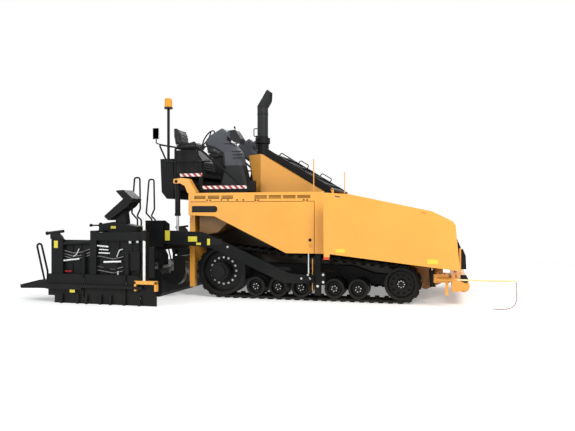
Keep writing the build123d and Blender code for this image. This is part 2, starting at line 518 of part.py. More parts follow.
strip_out = TRACK_OUT - REAR_STRIP_INSET
with BuildPart() as rear_frame:
    side_plate(REAR_STRIP, strip_out - REAR_STRIP_T, REAR_STRIP_T)
    block((HULL_REAR - PLATE - BITE, HULL_REAR), (-strip_out, 0), (TUNNEL_ROOF, HULL_TOP))
    block((HULL_REAR - PLATE - BITE, HULL_REAR), (-strip_out, -HULL + PLATE),
          (TUNNEL_FLOOR + PLATE, TUNNEL_ROOF))
    mirror(about=Plane.XZ)
keep(rear_frame, "rear_frame")

tow_rod_top = TOW_RAM_FOOT + TOW_TRAVEL + 4 * TOW_ROD_R
with BuildPart() as tow_columns:
    block(COLUMN, (-COLUMN_OUT, -COLUMN_IN), (COLUMN_FOOT, COLUMN_TOP))
    block(COLUMN, (-COLUMN_IN - BITE, -HULL), (COLUMN_TIE, COLUMN_TOP))
    block((TOW_RAM_X - TOW_RAM_R, COLUMN[0] + BITE), (-COLUMN_OUT, -COLUMN_IN),
          (COLUMN_TIE, COLUMN_TIE + 2 * PLATE))
    ram_y = (COLUMN_IN + COLUMN_OUT) / 2
    bar((TOW_RAM_X, -ram_y, TOW_RAM_FOOT), (TOW_RAM_X, -ram_y, COLUMN_TIE + 2 * PLATE), TOW_RAM_R)
    bar((TOW_RAM_X, -ram_y, TOW_RAM_FOOT), (TOW_RAM_X, -ram_y, tow_rod_top + 2 * RUN), TOW_ROD_R + PIN,
        mode=Mode.SUBTRACT)
    mirror(about=Plane.XZ)
keep(tow_columns, "tow_columns")

# ================================================================ body panels
hinge_z = DOOR_TOP + DOOR_GAP / 2


def hinge_knuckles(centres, reach, notch):
    """Knuckles of the door's hinges: bars along X on the hinge line, or the notches round them."""
    for x in centres:
        bar((x - reach, -PANEL_OUT, hinge_z), (x + reach, -PANEL_OUT, hinge_z), KNUCKLE_R + notch,
            mode=Mode.SUBTRACT if notch else Mode.ADD)


with BuildPart() as side_panel:
    side_plate(((PANEL_REAR, PANEL_TOP), (PANEL_FRONT, PANEL_TOP), (PANEL_FRONT, SILL),
                (DOOR_FRONT + DOOR_GAP, SILL), (DOOR_FRONT + DOOR_GAP, DOOR_TOP + DOOR_GAP),
                (PANEL_REAR, DOOR_TOP + DOOR_GAP)), PANEL_IN, PANEL_T)
    chamfer(side_panel.edges().group_by(Axis.Z)[-1].filter_by(Axis.X).sort_by(Axis.Y)[0], KNUCKLE_R)
    with BuildSketch(Plane.XZ.offset(PANEL_IN)) as louvres:
        for first, number, length, pitch in LOUVRES:
            for row in range(LOUVRE_ROWS):
                for place in range(number):
                    with Locations((first + length / 2 + place * pitch,
                                    LOUVRE_Z + (row - (LOUVRE_ROWS - 1) / 2) * LOUVRE_PITCH)):
                        Rectangle(length, LOUVRE_SLOT)
    extrude(louvres.sketch, amount=PANEL_T, mode=Mode.SUBTRACT)
    hinge_knuckles(DOOR_HINGES, KNUCKLE_L / 2 + SEAT, RUN / 2)
keep_pair(side_panel, "side_panel")

with BuildPart() as service_door:
    side_plate(((PANEL_REAR, DOOR_TOP), (DOOR_FRONT, DOOR_TOP), (DOOR_FRONT, SILL), DOOR_SLOPE[1],
                DOOR_SLOPE[0], (PANEL_REAR, DOOR_SLOPE[0][1] + PANEL_T / 2)), PANEL_IN, PANEL_T)
    hinge_knuckles(DOOR_HINGES, KNUCKLE_L / 2, 0)
    pull_x, pull_z, pull_length, pull_height, pull_pitch = DOOR_PULL
    for row in (-0.5, 0.5):
        middle = pull_z + row * pull_pitch
        block((pull_x - pull_length / 2, pull_x + pull_length / 2), (-PANEL_OUT, -PANEL_OUT + PANEL_T / 2),
              (middle - pull_height / 2, middle + pull_height / 2), mode=Mode.SUBTRACT)
keep_pair(service_door, "service_door")

with BuildPart() as floor_plates:
    block((PANEL_REAR, HOOD_REAR_FOOT), (-PANEL_IN, 0), (PANEL_TOP - DECK_T, PANEL_TOP))
    block((HOOD_REAR_FOOT - BITE, PANEL_FRONT), (-PANEL_IN, -DECK_IN), (PANEL_TOP - DECK_T, PANEL_TOP))
    mirror(about=Plane.XZ)
keep(floor_plates, "floor_plates")

# ================================================================ hood and its cover
with BuildPart() as hood:
    with BuildSketch(Plane.XZ.offset(-HOOD_OUT)) as hood_side:
        with BuildLine():
            Polyline((HOOD_REAR_FOOT, PANEL_TOP), (HOOD_REAR_TOP, HOOD_TOP), (HOOD_BEND, HOOD_TOP),
                     (HOOD_TOE, PANEL_TOP), close=True)
        make_face()
    extrude(amount=2 * HOOD_OUT)
    with BuildSketch(Plane.XY.offset(PANEL_TOP)) as corners:
        with BuildLine():
            Polyline((HOOD_BEND, -HOOD_OUT), (HOOD_REAR_TOP - PLATE, -HOOD_OUT),
                     (HOOD_REAR_TOP - PLATE, -HOOD_OUT + HOOD_CORNER), close=True)
        make_face()
        mirror(about=Plane.XZ)
    extrude(amount=HOOD_TOP, mode=Mode.SUBTRACT)
    offset(amount=-HOOD_WALL, openings=hood.faces().sort_by(Axis.Z)[0])
keep(hood, "hood")

slope_run = Vector(HOOD_BEND - HOOD_TOE, 0, HOOD_TOP - PANEL_TOP)
slope_angle = degrees(asin(slope_run.Z / slope_run.length))
slope = Plane(origin=(HOOD_TOE, 0, PANEL_TOP + SEAT), x_dir=slope_run,
              z_dir=(slope_run.Z, 0, -slope_run.X))
rail_width, rail_height = COVER_RAIL
with BuildPart() as hood_cover:
    with BuildSketch(slope) as tray:
        with Locations((slope_run.length / 2, 0)):
            Rectangle(slope_run.length, 2 * COVER_OUT)
    extrude(amount=COVER_T)
    with BuildSketch(slope.offset(COVER_T)) as rails:
        for side in (-1, 1):
            with Locations((slope_run.length / 2, side * (COVER_OUT - rail_width / 2))):
                Rectangle(slope_run.length, rail_width)
        with Locations(*[(place, 0) for place in COVER_BARS]):
            Rectangle(COVER_BAR_W, 2 * COVER_OUT - rail_width)
    extrude(amount=rail_height)
    gap = (COVER_BARS[1] - COVER_BARS[0]) / (COVER_SLATS + 1)
    with BuildSketch(slope.offset(COVER_T)) as slats:
        with Locations(*[(COVER_BARS[0] + number * gap, 0) for number in range(1, 3 * (COVER_SLATS + 1))]):
            Rectangle(COVER_SLAT_W, 2 * COVER_OUT - rail_width)
    extrude(amount=rail_height / 2)
    side_plate(((HOOD_TOE, PANEL_TOP + SEAT), (COVER_HINGE[0], COVER_HINGE[1] - COVER_EAR_R),
                (COVER_HINGE[0], COVER_HINGE[1] + COVER_EAR_R), (HOOD_TOE, PANEL_TOP + COVER_T + rail_height)),
               -COVER_OUT, 2 * COVER_OUT)
    for side in (-1, 1):
        hinge_middle = (COVER_HINGE[0], 0, COVER_HINGE[1])
        bar(hinge_middle, (COVER_HINGE[0], side * COVER_OUT, COVER_HINGE[1]), COVER_EAR_R)
        bar(hinge_middle, (COVER_HINGE[0], side * (COVER_OUT + COVER_EAR_T), COVER_HINGE[1]), COVER_PIN_R)
        for start, end in COVER_GRIPS:
            feet = [slope.from_local_coords(Vector(place, side * (COVER_OUT - rail_width / 2), COVER_T))
                    for place in (start, end)]
            tops = [point + slope.z_dir * (rail_height + GRIP_RISE) for point in feet]
            bent_tube((feet[0], tops[0], tops[1], feet[1]), GRIP_R, GRIP_RISE / 2)
keep(hood_cover, "hood_cover")

# ================================================================ exhaust
with BuildPart() as exhaust:
    with BuildSketch(Plane.XZ.offset(-STACK_Y)) as base:
        with BuildLine():
            Polyline((STACK_X, HOOD_TOP), (STACK_X + STACK_BASE_R, HOOD_TOP),
                     (STACK_X + STACK_BASE_R, HOOD_TOP + 2 * STACK_LIP),
                     (STACK_X + STACK_R + STACK_LIP, HOOD_TOP + 3 * STACK_LIP),
                     (STACK_X + STACK_R + STACK_LIP, STACK_BASE_TOP - 8 * STACK_LIP),
                     (STACK_X + STACK_BASE_R, STACK_BASE_TOP - 7 * STACK_LIP),
                     (STACK_X + STACK_BASE_R, STACK_BASE_TOP), (STACK_X, STACK_BASE_TOP), close=True)
        make_face()
    revolve(axis=Axis((STACK_X, STACK_Y, 0), (0, 0, 1)))
    for radius, mode in ((STACK_R, Mode.ADD), (STACK_R - STACK_WALL, Mode.SUBTRACT)):
        with BuildLine() as pipe_route:
            Polyline((STACK_X, STACK_Y, STACK_BASE_TOP - STACK_LIP), (STACK_X, STACK_Y, STACK_ELBOW),
                     (STACK_X + STACK_LEAN * (STACK_TIP - STACK_ELBOW), STACK_Y, STACK_TIP))
        with BuildSketch(Plane.XY.offset(STACK_BASE_TOP - STACK_LIP)) as pipe:
            with Locations((STACK_X, STACK_Y)):
                Circle(radius)
        sweep(pipe.sketch, path=pipe_route.line, transition=Transition.RIGHT, mode=mode)
    split(bisect_by=Plane.YZ.offset(STACK_MOUTH), keep=Keep.BOTTOM)
    grip_low, grip_high, grip_reach = STACK_GRIP
    grip_near, grip_far = STACK_X - STACK_R + BITE, STACK_X - STACK_R - grip_reach
    bent_tube(((grip_near, STACK_Y, grip_low), (grip_far, STACK_Y, grip_low),
               (grip_far, STACK_Y, grip_high), (grip_near, STACK_Y, grip_high)), GRIP_R, 2 * GRIP_R)
keep(exhaust, "exhaust")

# ================================================================ operator platform
with BuildPart() as platform:
    side_plate(((LOW_REAR, PANEL_TOP), (LOW_REAR, LOW_DECK), (LOW_FRONT, LOW_DECK), (LOW_FRONT, PANEL_TOP)),
               0, PLATFORM_HALF)
    side_plate(((HIGH_REAR, HIGH_DECK - SKIRT), (HIGH_REAR, HIGH_DECK), (HIGH_FRONT, HIGH_DECK),
                (HIGH_FRONT, HIGH_DECK - SKIRT)), 0, PLATFORM_HALF)
    side_plate(((SUB_DECK_TAIL, SUB_DECK[1]), (SUB_DECK_TAIL, HIGH_DECK), (HIGH_REAR + BITE, HIGH_DECK),
                (HIGH_REAR + BITE, LOW_DECK), (LOW_REAR + BITE, LOW_DECK), (LOW_REAR + BITE, SUB_DECK[1])),
               0, PLATFORM_REAR_HALF)
    side_plate(((SUB_DECK[0], SUB_DECK[1]), (SUB_DECK[0], LOW_DECK), (HIGH_REAR - PLATE, LOW_DECK),
                (HIGH_REAR, HIGH_DECK - SKIRT + BITE),
                STAIR_HEAD, (LOW_REAR + BITE, LOW_DECK), (LOW_REAR + BITE, SUB_DECK[1])),
               PLATFORM_HALF - 2 * PLATE, PLATE)
    block((LOW_REAR - SKIRT, LOW_REAR + BITE), (-PLATFORM_HALF, -PLATFORM_HALF + PLATE),
          (LOW_DECK - BITE - SKIRT, HIGH_DECK - SKIRT + BITE))
    box_x, box_z, box_width = STEP_BOX
    block(box_x, (-PLATFORM_HALF, -PLATFORM_HALF + box_width), box_z)
    block((LOW_FRONT - BITE, box_x[0] + BITE), (-PLATFORM_HALF, -PLATFORM_HALF + box_width),
          (box_z[0], LOW_DECK))
    mirror(about=Plane.XZ)
keep(platform, "platform")

with BuildPart() as rear_box:
    side_plate(REAR_BOX, 0, PLATFORM_REAR_HALF)
    chamfer(rear_box.edges().filter_by(Axis.Z).sort_by(Axis.Y)[0], PLATE)
    mirror(about=Plane.XZ)
keep(rear_box, "rear_box")

fold_count, fold_first, fold_pitch, fold_width = SEAT_FOLD
with BuildPart() as seat_bases:
    side_plate(SEAT_BASE, SEAT_Y - SEAT_W / 2, SEAT_W, bend=20)
    with BuildSketch(Plane.XZ.offset(SEAT_Y - SEAT_W / 2)) as folds:
        for middle, depth in SEAT_FOLDS:
            for number in range(fold_count):
                with Locations((middle, HIGH_DECK + fold_first + number * fold_pitch)):
                    Rectangle(depth, fold_width)
    extrude(folds.sketch, amount=SEAT_W, mode=Mode.SUBTRACT)
    mirror(about=Plane.XZ)
keep(seat_bases, "seat_bases")

back_foot, back_lean, back_height, back_thick, back_taper = SEAT_BACK
with BuildPart() as seats:
    side_plate(SEAT_PAN, SEAT_Y - SEAT_W / 2, SEAT_W, bend=18)
    back = Plane(origin=(back_foot[0], -SEAT_Y, back_foot[1]), x_dir=(0, 1, 0),
                 z_dir=(back_lean[0], 0, back_lean[1]))
    with BuildSketch(back) as back_low:
        RectangleRounded(SEAT_W, back_thick, back_thick / 3)
    with BuildSketch(back.offset(back_height * 0.6)) as back_mid:
        RectangleRounded(SEAT_W, back_thick, back_thick / 3)
    with BuildSketch(back.offset(back_height)) as back_top:
        RectangleRounded(SEAT_W - back_taper, back_thick * 0.7, back_thick / 3)
    loft(sections=[back_low.sketch, back_mid.sketch, back_top.sketch], ruled=True)
    mirror(about=Plane.XZ)
keep(seats, "seats")


def steer_point(along):
    """A point on the right steering column's line, from the wheel's hub."""
    return (STEER_HUB[0] + STEER_AXIS[0] * along, -SEAT_Y, STEER_HUB[1] + STEER_AXIS[1] * along)


with BuildPart() as consoles:
    side_plate(CONSOLE, SEAT_Y - CONSOLE_W / 2, CONSOLE_W)
    outer_edges = consoles.edges().filter_by_position(Axis.Z, LOW_DECK + BITE, CONSOLE_PAD[2][1] * 2)
    chamfer(outer_edges.filter_by(Axis.Y, reverse=True), CONSOLE_BEVEL)
    side_plate(CONSOLE_PAD, SEAT_Y - CONSOLE_W / 2 + CONSOLE_BEVEL, CONSOLE_W - 2 * CONSOLE_BEVEL, bend=16)
    bar(steer_point(-STEER_SHAFT - RUN), steer_point(-STEER_R / 8), STEER_SHAFT_R + PIN, mode=Mode.SUBTRACT)
    mirror(about=Plane.XZ)
keep(consoles, "consoles")

steer_plane = Plane(origin=steer_point(0), x_dir=(0, 1, 0), z_dir=(STEER_AXIS[0], 0, STEER_AXIS[1]))
with BuildPart() as steering_wheel:
    with BuildSketch(Plane(origin=steer_plane.origin, x_dir=(0, 1, 0), z_dir=steer_plane.y_dir)) as rim:
        with Locations((STEER_R, 0)):
            Circle(STEER_GRIP_R)
    revolve(rim.sketch, axis=Axis(steer_plane.origin, steer_plane.z_dir))
    with BuildSketch(steer_plane.offset(-STEER_GRIP_R / 2)) as spokes:
        Circle(STEER_BOSS_R)
        with PolarLocations(STEER_R / 2, 3):
            Rectangle(STEER_R - STEER_GRIP_R, 2 * STEER_GRIP_R)
    extrude(spokes.sketch, amount=STEER_GRIP_R)
    bar(steer_point(-STEER_SHAFT), steer_point(0), STEER_SHAFT_R)
keep_pair(steering_wheel, "steering_wheel")

rail_rear, rail_bend, rail_foot = RAIL
with BuildPart() as handrails:
    bent_tube(((rail_rear[0], -RAIL_Y, LOW_DECK), (rail_rear[0], -RAIL_Y, rail_rear[1]),
               (rail_bend[0], -RAIL_Y, rail_bend[1]), (rail_foot[0] - RAIL_FOOT_BACK, -RAIL_Y, rail_foot[1]),
               (rail_foot[0] - RAIL_FOOT_BACK, -RAIL_Y, LOW_DECK)), RAIL_R, RAIL_BEND)
    bar((rail_rear[0], -RAIL_Y, RAIL_MID), (RAIL_MID_FRONT, -RAIL_Y, RAIL_MID), RAIL_THIN)
    bar((rail_bend[0], -RAIL_Y, rail_bend[1]), (rail_bend[0], -RAIL_Y, HIGH_DECK), RAIL_THIN)
    mirror(about=Plane.XZ)
    frame_points = ((rail_rear[0], RAIL_MID), *MIRROR_FRAME, rail_rear)
    bent_tube([(x, -RAIL_Y, z) for x, z in frame_points], RAIL_THIN, MIRROR_ARM_R * 2)
    head_x, head_z, head_out = MIRROR
    block(head_x, (-head_out, -head_out + MIRROR_T), head_z)
    arm_y = -head_out + MIRROR_T / 2
    arm_x, arm_z = MIRROR_ARM[-1]
    bent_tube([(x, arm_y, z) for x, z in MIRROR_ARM], MIRROR_ARM_R, MIRROR_ARM_R * 2)
    bar((arm_x, arm_y, arm_z), (arm_x, -RAIL_Y, arm_z), MIRROR_ARM_R)
    bar((BEACON[0], BEACON[1], REAR_BOX[1][1]), (BEACON[0], BEACON[1], BEACON_FOOT), BEACON_POLE_R)
keep(handrails, "handrails")

base_rim, base_height = BEACON_BASE
taper, shoulder, top_inset = BEACON_SHOULDER
lens_out = BEACON[0] + BEACON_R
with BuildPart() as beacon:
    with BuildSketch(Plane.XZ.offset(-BEACON[1])) as lens:
        with BuildLine():
            Polyline((BEACON[0], BEACON_FOOT), (lens_out + base_rim, BEACON_FOOT),
                     (lens_out + base_rim, BEACON_FOOT + base_height), (lens_out, BEACON_FOOT + base_height),
                     (lens_out - taper, BEACON_TOP - shoulder), (lens_out - top_inset, BEACON_TOP),
                     (BEACON[0], BEACON_TOP), close=True)
        make_face()
    revolve(axis=Axis((BEACON[0], BEACON[1], 0), (0, 0, 1)))
keep(beacon, "beacon")

with BuildPart() as lift_brackets:
    side_plate(HORN, LIFT_Y - HORN_HALF, 2 * HORN_HALF, bend=14)
    block((LIFT_X - HORN_SLOT[0], LIFT_X + HORN_SLOT[1]),
          (-LIFT_Y - LIFT_CAP_HALF - SEAT, -LIFT_Y + LIFT_CAP_HALF + SEAT),
          (LIFT_TOP - 2 * LIFT_R, LIFT_TOP + 2 * LIFT_R), mode=Mode.SUBTRACT)
    cross_bar(LIFT_X, LIFT_TOP, LIFT_Y - HORN_HALF, LIFT_Y + HORN_HALF, LIFT_PIN_R)
    mirror(about=Plane.XZ)
keep(lift_brackets, "lift_brackets")

# ================================================================ hopper
bulkhead_front = HULL_FRONT + BULKHEAD
with BuildPart() as bulkhead:
    block((HULL_FRONT, bulkhead_front), (-PANEL_IN + RUN, 0), (TUNNEL_ROOF, BULKHEAD_TOP))
    block((HULL_FRONT, bulkhead_front), (-PANEL_IN + RUN, -HULL - BITE), (WING_HINGE_Z, TUNNEL_ROOF + BITE))
    with BuildSketch(Plane.XZ.offset(COVER_OUT + SEAT)) as cover_ear:
        with Locations(COVER_HINGE):
            Circle(COVER_EAR_R)
        with Locations((COVER_HINGE[0] + (COVER_EAR_R + bulkhead_front - COVER_HINGE[0]) / 2 - BITE,
                        (COVER_HINGE[1] + BULKHEAD_TOP) / 2 - PLATE)):
            Rectangle(COVER_EAR_R - bulkhead_front + COVER_HINGE[0] + 2 * BITE,
                      COVER_HINGE[1] - BULKHEAD_TOP + 2 * PLATE)
        with Locations(COVER_HINGE):
            Circle(COVER_PIN_R + PIN, mode=Mode.SUBTRACT)
    extrude(cover_ear.sketch, amount=COVER_EAR_T)
    mirror(about=Plane.XZ)
keep(bulkhead, "bulkhead")

bar_length, bar_height = CONVEYOR_BAR
chain_width, chain_height = CONVEYOR_CHAIN
lane_middle = (HULL - PLATE + DIVIDER / 2) / 2
bar_count = int((CONVEYOR_FRONT - HULL_REAR) / CONVEYOR_PITCH)
with BuildPart() as conveyors:
    for side in (-1, 1):
        for edge in (-CONVEYOR_HALF, CONVEYOR_HALF - chain_width):
            run_start = side * lane_middle + edge
            block((HULL_REAR, HULL_REAR + bar_count * CONVEYOR_PITCH), (run_start, run_start + chain_width),
                  (TUNNEL_FLOOR, TUNNEL_FLOOR + chain_height))
        for number in range(bar_count):
            x = HULL_REAR + (number + 0.5) * CONVEYOR_PITCH
            block((x, x + bar_length), (side * lane_middle - CONVEYOR_HALF, side * lane_middle + CONVEYOR_HALF),
                  (TUNNEL_FLOOR, TUNNEL_FLOOR + bar_height))
keep(conveyors, "conveyors")

wing_in = WING_OUT - WING_T
floor_run = wing_in - WING_HINGE_Y
with BuildPart() as wing:
    bar((deck_rear, -WING_HINGE_Y, WING_HINGE_Z), (WING_FLOOR_FRONT, -WING_HINGE_Y, WING_HINGE_Z), WING_HINGE_R)
    cross_plate(((WING_HINGE_Y, WING_HINGE_Z), (WING_HINGE_Y, WING_HINGE_Z + WING_FLOOR_T),
                 (wing_in + BITE, WING_HINGE_Z + WING_FLOOR_T + WING_FLOOR_RISE),
                 (wing_in + BITE, WING_HINGE_Z + WING_FLOOR_RISE)),
                HOPPER_REAR + RUN, WING_FLOOR_FRONT - HOPPER_REAR)
    side_plate(WING_SIDE, wing_in, WING_T)
    with BuildSketch(Plane.XZ.offset(wing_in - WING_LIP)) as lips:
        with BuildLine():
            Polyline(*WING_SIDE, close=True)
        make_face()
        offset(amount=-WING_T / 2, kind=Kind.INTERSECTION, mode=Mode.SUBTRACT)
    extrude(lips.sketch, amount=WING_LIP + BITE)
    with BuildSketch(Plane.XZ.offset(wing_in)) as hand_slots:
        with Locations(*WING_SLOTS):
            SlotOverall(*WING_SLOT, rotation=-10)
    extrude(hand_slots.sketch, amount=WING_T, mode=Mode.SUBTRACT)
    for x in WING_RIBS:
        rise = WING_FLOOR_RISE / floor_run
        rib_in = WING_HINGE_Y + WING_HINGE_GAP
        cross_plate(((rib_in, WING_HINGE_Z + rise * WING_HINGE_GAP + BITE),
                     (wing_in + BITE, WING_HINGE_Z + WING_FLOOR_RISE + BITE),
                     (wing_in + BITE, WING_HINGE_Z + WING_FLOOR_RISE - WING_RIB_DEPTH),
                     (rib_in, WING_HINGE_Z - WING_RIB_DEPTH / 4)), x, WING_RIB_T)
    lug_gap = RAM_ROD_R + RUN
    for face in (WING_LUG_X - lug_gap - RAM_LUG_T, WING_LUG_X + lug_gap):
        lug_in, lug_out = WING_LUG_Y - 2 * RAM_ROD_R, WING_LUG_Y + 2 * RAM_ROD_R
        cross_plate(((lug_in, WING_LUG_Z - RAM_R), (lug_out, WING_LUG_Z - RAM_R),
                     (lug_out, WING_HINGE_Z + 2 * RAM_R), (lug_in, WING_HINGE_Z + RAM_R)), face, RAM_LUG_T)
keep_pair(wing, "wing")

ram_run = Vector(0, -(WING_LUG_Y - RAM_FOOT_Y), WING_LUG_Z - RAM_FOOT_Z)
ram_dir = ram_run.normalized()


def along_ram(distance):
    """A point on the wing ram's centre line, from its foot."""
    return (WING_LUG_X, -RAM_FOOT_Y + ram_dir.Y * distance, RAM_FOOT_Z + ram_dir.Z * distance)


with BuildPart() as wing_barrel:
    bar(along_ram(0), along_ram(RAM_BARREL), RAM_R)
    bar((WING_LUG_X - RAM_R, -RAM_FOOT_Y, RAM_FOOT_Z), (WING_LUG_X + RAM_R, -RAM_FOOT_Y, RAM_FOOT_Z),
        RAM_EYE_R)
    bar(along_ram(RAM_STROKE_FOOT), along_ram(RAM_BARREL), RAM_ROD_R + PIN, mode=Mode.SUBTRACT)
keep_pair(wing_barrel, "wing_barrel")
with BuildPart() as wing_rod:
    bar(along_ram(RAM_STROKE_FOOT + RUN), along_ram(ram_run.length), RAM_ROD_R)
keep_pair(wing_rod, "wing_rod")

with BuildPart() as apron:
    bar((APRON_HINGE[0], -APRON_HALF - APRON_EAR_T, APRON_HINGE[1]),
        (APRON_HINGE[0], APRON_HALF + APRON_EAR_T, APRON_HINGE[1]), APRON_PIN_R)
    block((APRON_HINGE[0] - APRON_T / 2, APRON_HINGE[0] + APRON_T / 2), (-APRON_HALF, APRON_HALF),
          (APRON_HINGE[1], APRON_TOP))
    crest_inset, crest_rise = APRON_CREST
    block((APRON_HINGE[0] - APRON_T / 4, APRON_HINGE[0] + APRON_T / 4),
          (-APRON_HALF + crest_inset, APRON_HALF - crest_inset), (APRON_TOP - BITE, APRON_TOP + crest_rise))
    for y in APRON_RIBS:
        side_plate((APRON_HINGE, (APRON_HINGE[0] + 3 * APRON_PIN_R, APRON_HINGE[1] + APRON_PIN_R),
                    (APRON_HINGE[0] + APRON_T, APRON_TOP), (APRON_HINGE[0], APRON_TOP)),
                   y - APRON_T / 2, APRON_T)
keep(apron, "apron")

# ================================================================ push rollers, guide rod
roller_gap = PUSH_ARM_T / 2 + SEAT
beam_low, beam_high = PUSH_Z - PUSH_BEAM_H / 2, PUSH_Z + PUSH_BEAM_H / 2
with BuildPart() as push_beam:
    with BuildSketch(Plane.XZ.offset(-PUSH_HALF)) as channel:
        with Locations(((PUSH_BEAM[0] + PUSH_BEAM[1]) / 2, PUSH_Z)):
            Rectangle(PUSH_BEAM[1] - PUSH_BEAM[0], PUSH_BEAM_H)
    extrude(amount=2 * PUSH_HALF)
    chamfer(push_beam.edges().filter_by(Axis.Y), PUSH_ARM_T / 4)
    knuckle = PUSH_BEAM_H / 2 - 4 * RUN
    block((PUSH_PIVOT_X, PUSH_BEAM[0] + BITE), (-PUSH_BOSS_R, PUSH_BOSS_R),
          (PUSH_Z - knuckle, PUSH_Z + knuckle))
    bar((PUSH_PIVOT_X, 0, PUSH_Z - knuckle), (PUSH_PIVOT_X, 0, PUSH_Z + knuckle), PUSH_BOSS_R)
    bar((PUSH_PIVOT_X, 0, PUSH_Z - knuckle), (PUSH_PIVOT_X, 0, PUSH_Z + knuckle), PUSH_PIN_R + PIN,
        mode=Mode.SUBTRACT)
    for y in (-PUSH_HALF + PUSH_ARM_T / 2, 0, PUSH_HALF - PUSH_ARM_T / 2):
        side_plate(((PUSH_BEAM[1] - BITE, beam_low), (PUSH_BEAM[1] - BITE, beam_high),
                    (PUSH_X + PUSH_R / 3, PUSH_Z + PUSH_R / 2), (PUSH_X + PUSH_R / 2, PUSH_Z),
                    (PUSH_X + PUSH_R / 3, PUSH_Z - PUSH_R / 2)), y - PUSH_ARM_T / 2, PUSH_ARM_T)
keep(push_beam, "push_beam")
with BuildPart() as push_roller:
    cross_bar(PUSH_X, PUSH_Z, roller_gap, PUSH_HALF - PUSH_ARM_T - SEAT, PUSH_R)
    chamfer(push_roller.edges(), PUSH_R / 8)
keep_pair(push_roller, "push_roller")

strip_rear, strip_front, strip_foot, strip_top = GUIDE_BRACKET
with BuildPart() as guide_bracket:
    cross_bar(strip_rear - 5 * GUIDE_BEAM_R, GUIDE_Z + GUIDE_BEAM_R, HULL, GUIDE_Y - GUIDE_SLEEVE_R,
              GUIDE_BEAM_R)
    strip_y = (-GUIDE_Y + GUIDE_SLEEVE_R / 2, -GUIDE_Y + GUIDE_SLEEVE_R + GUIDE_STRIP_PROUD)
    block((GUIDE_SLEEVE[0] - 2 * GUIDE_BEAM_R, strip_front), strip_y,
          (GUIDE_Z - 2 * GUIDE_BEAM_R, GUIDE_Z + 3 * GUIDE_BEAM_R))
    block((strip_rear, strip_front), strip_y, (strip_foot, strip_top))
    bar((GUIDE_SLEEVE[0], -GUIDE_Y, GUIDE_Z), (GUIDE_SLEEVE[1], -GUIDE_Y, GUIDE_Z), GUIDE_SLEEVE_R)
    bar((GUIDE_SLEEVE[0], -GUIDE_Y, GUIDE_Z), (GUIDE_SLEEVE[1], -GUIDE_Y, GUIDE_Z), GUIDE_R + SEAT,
        mode=Mode.SUBTRACT)
keep(guide_bracket, "guide_bracket")
with BuildPart() as guide_rod:
    bar((GUIDE_SLEEVE[0], -GUIDE_Y, GUIDE_Z), (GUIDE_TIP, -GUIDE_Y, GUIDE_Z), GUIDE_R)
keep(guide_rod, "guide_rod")


def cord_radii(points):
    """The bend at each inner point, as large as the two runs beside it allow."""
    radii = []
    for before, here, after in zip(points, points[1:], points[2:]):
        coming, going = Vector(*here) - Vector(*before), Vector(*after) - Vector(*here)
        half_turn = radians(coming.get_angle(going)) / 2
        radii.append(0.45 * min(coming.length, going.length) * cos(half_turn) / sin(half_turn))
    return radii


# the chain that hangs from the rod's tip and lies back along the ground
chain_points = [(x, -y, z) for x, y, z in CHAIN_ROUTE]
with BuildPart() as guide_chain:
    with BuildLine() as chain_route:
        FilletPolyline(*chain_points, radius=cord_radii(chain_points))
    with BuildSketch(Plane(origin=chain_route.line @ 0, z_dir=chain_route.line % 0)):
        Circle(CHAIN_R)
    sweep(path=chain_route.line)
keep(guide_chain, "guide_chain")
chain_length = sum(edge.length for edge in chain_route.edges())
print("chain bends", [round(radius) for radius in cord_radii(chain_points)])
print("chain volume over section times length",
      round(guide_chain.part.volume / (pi * CHAIN_R ** 2 * chain_length), 4))

# ================================================================ tow points, arms and lift rams
with BuildPart() as tow_blocks:
    block((TOW_X - TOW_BLOCK / 2, COLUMN[0] - SEAT), (-ARM_IN + SEAT, -COLUMN_IN),
          (TOW_Z - TOW_BLOCK / 2, TOW_Z + TOW_BLOCK / 2))
    cross_bar(TOW_X, TOW_Z, COLUMN_OUT, ARM_OUT + 2 * TOW_ROD_R, TOW_PIN_R)
    bar((TOW_RAM_X, -ram_y, TOW_Z), (TOW_RAM_X, -ram_y, TOW_RAM_FOOT + 4 * TOW_ROD_R), TOW_ROD_R)
    mirror(about=Plane.XZ)
keep(tow_blocks, "tow_blocks")

with BuildPart() as tow_arms:
    with BuildSketch(Plane.XZ.offset(ARM_IN)) as arm_side:
        with BuildLine():
            Polyline(*ARM, close=True)
        make_face()
        for corner, bend in ARM_BENDS:
            fillet(arm_side.vertices().sort_by_distance(ARM[corner])[0], bend)
    extrude(arm_side.sketch, amount=ARM_T)
    cross_bar(TOW_X, TOW_Z, ARM_IN, ARM_OUT, TOW_PIN_R + PIN, mode=Mode.SUBTRACT)
    cross_bar(LIFT_X, LIFT_FOOT, LIFT_Y + LIFT_EYE_HALF + SEAT, ARM_OUT, ARM_LUG_R)
    mirror(about=Plane.XZ)
keep(tow_arms, "tow_arms")

with BuildPart() as lift_barrels:
    bar((LIFT_X, -LIFT_Y, LIFT_TOP), (LIFT_X, -LIFT_Y, LIFT_BARREL_END), LIFT_R)
    bar((LIFT_X, -LIFT_Y, LIFT_BARREL_END), (LIFT_X, -LIFT_Y, LIFT_BARREL_END + LIFT_R), LIFT_R + RUN)
    cross_bar(LIFT_X, LIFT_TOP, LIFT_Y - LIFT_CAP_HALF, LIFT_Y + LIFT_CAP_HALF, LIFT_CAP_R)
    cross_bar(LIFT_X, LIFT_TOP, LIFT_Y - LIFT_CAP_HALF, LIFT_Y + LIFT_CAP_HALF, LIFT_PIN_R + PIN,
              mode=Mode.SUBTRACT)
    bar((LIFT_X, -LIFT_Y, LIFT_BORE_TOP), (LIFT_X, -LIFT_Y, LIFT_BARREL_END), LIFT_ROD_R + PIN,
        mode=Mode.SUBTRACT)
    mirror(about=Plane.XZ)
keep(lift_barrels, "lift_barrels")
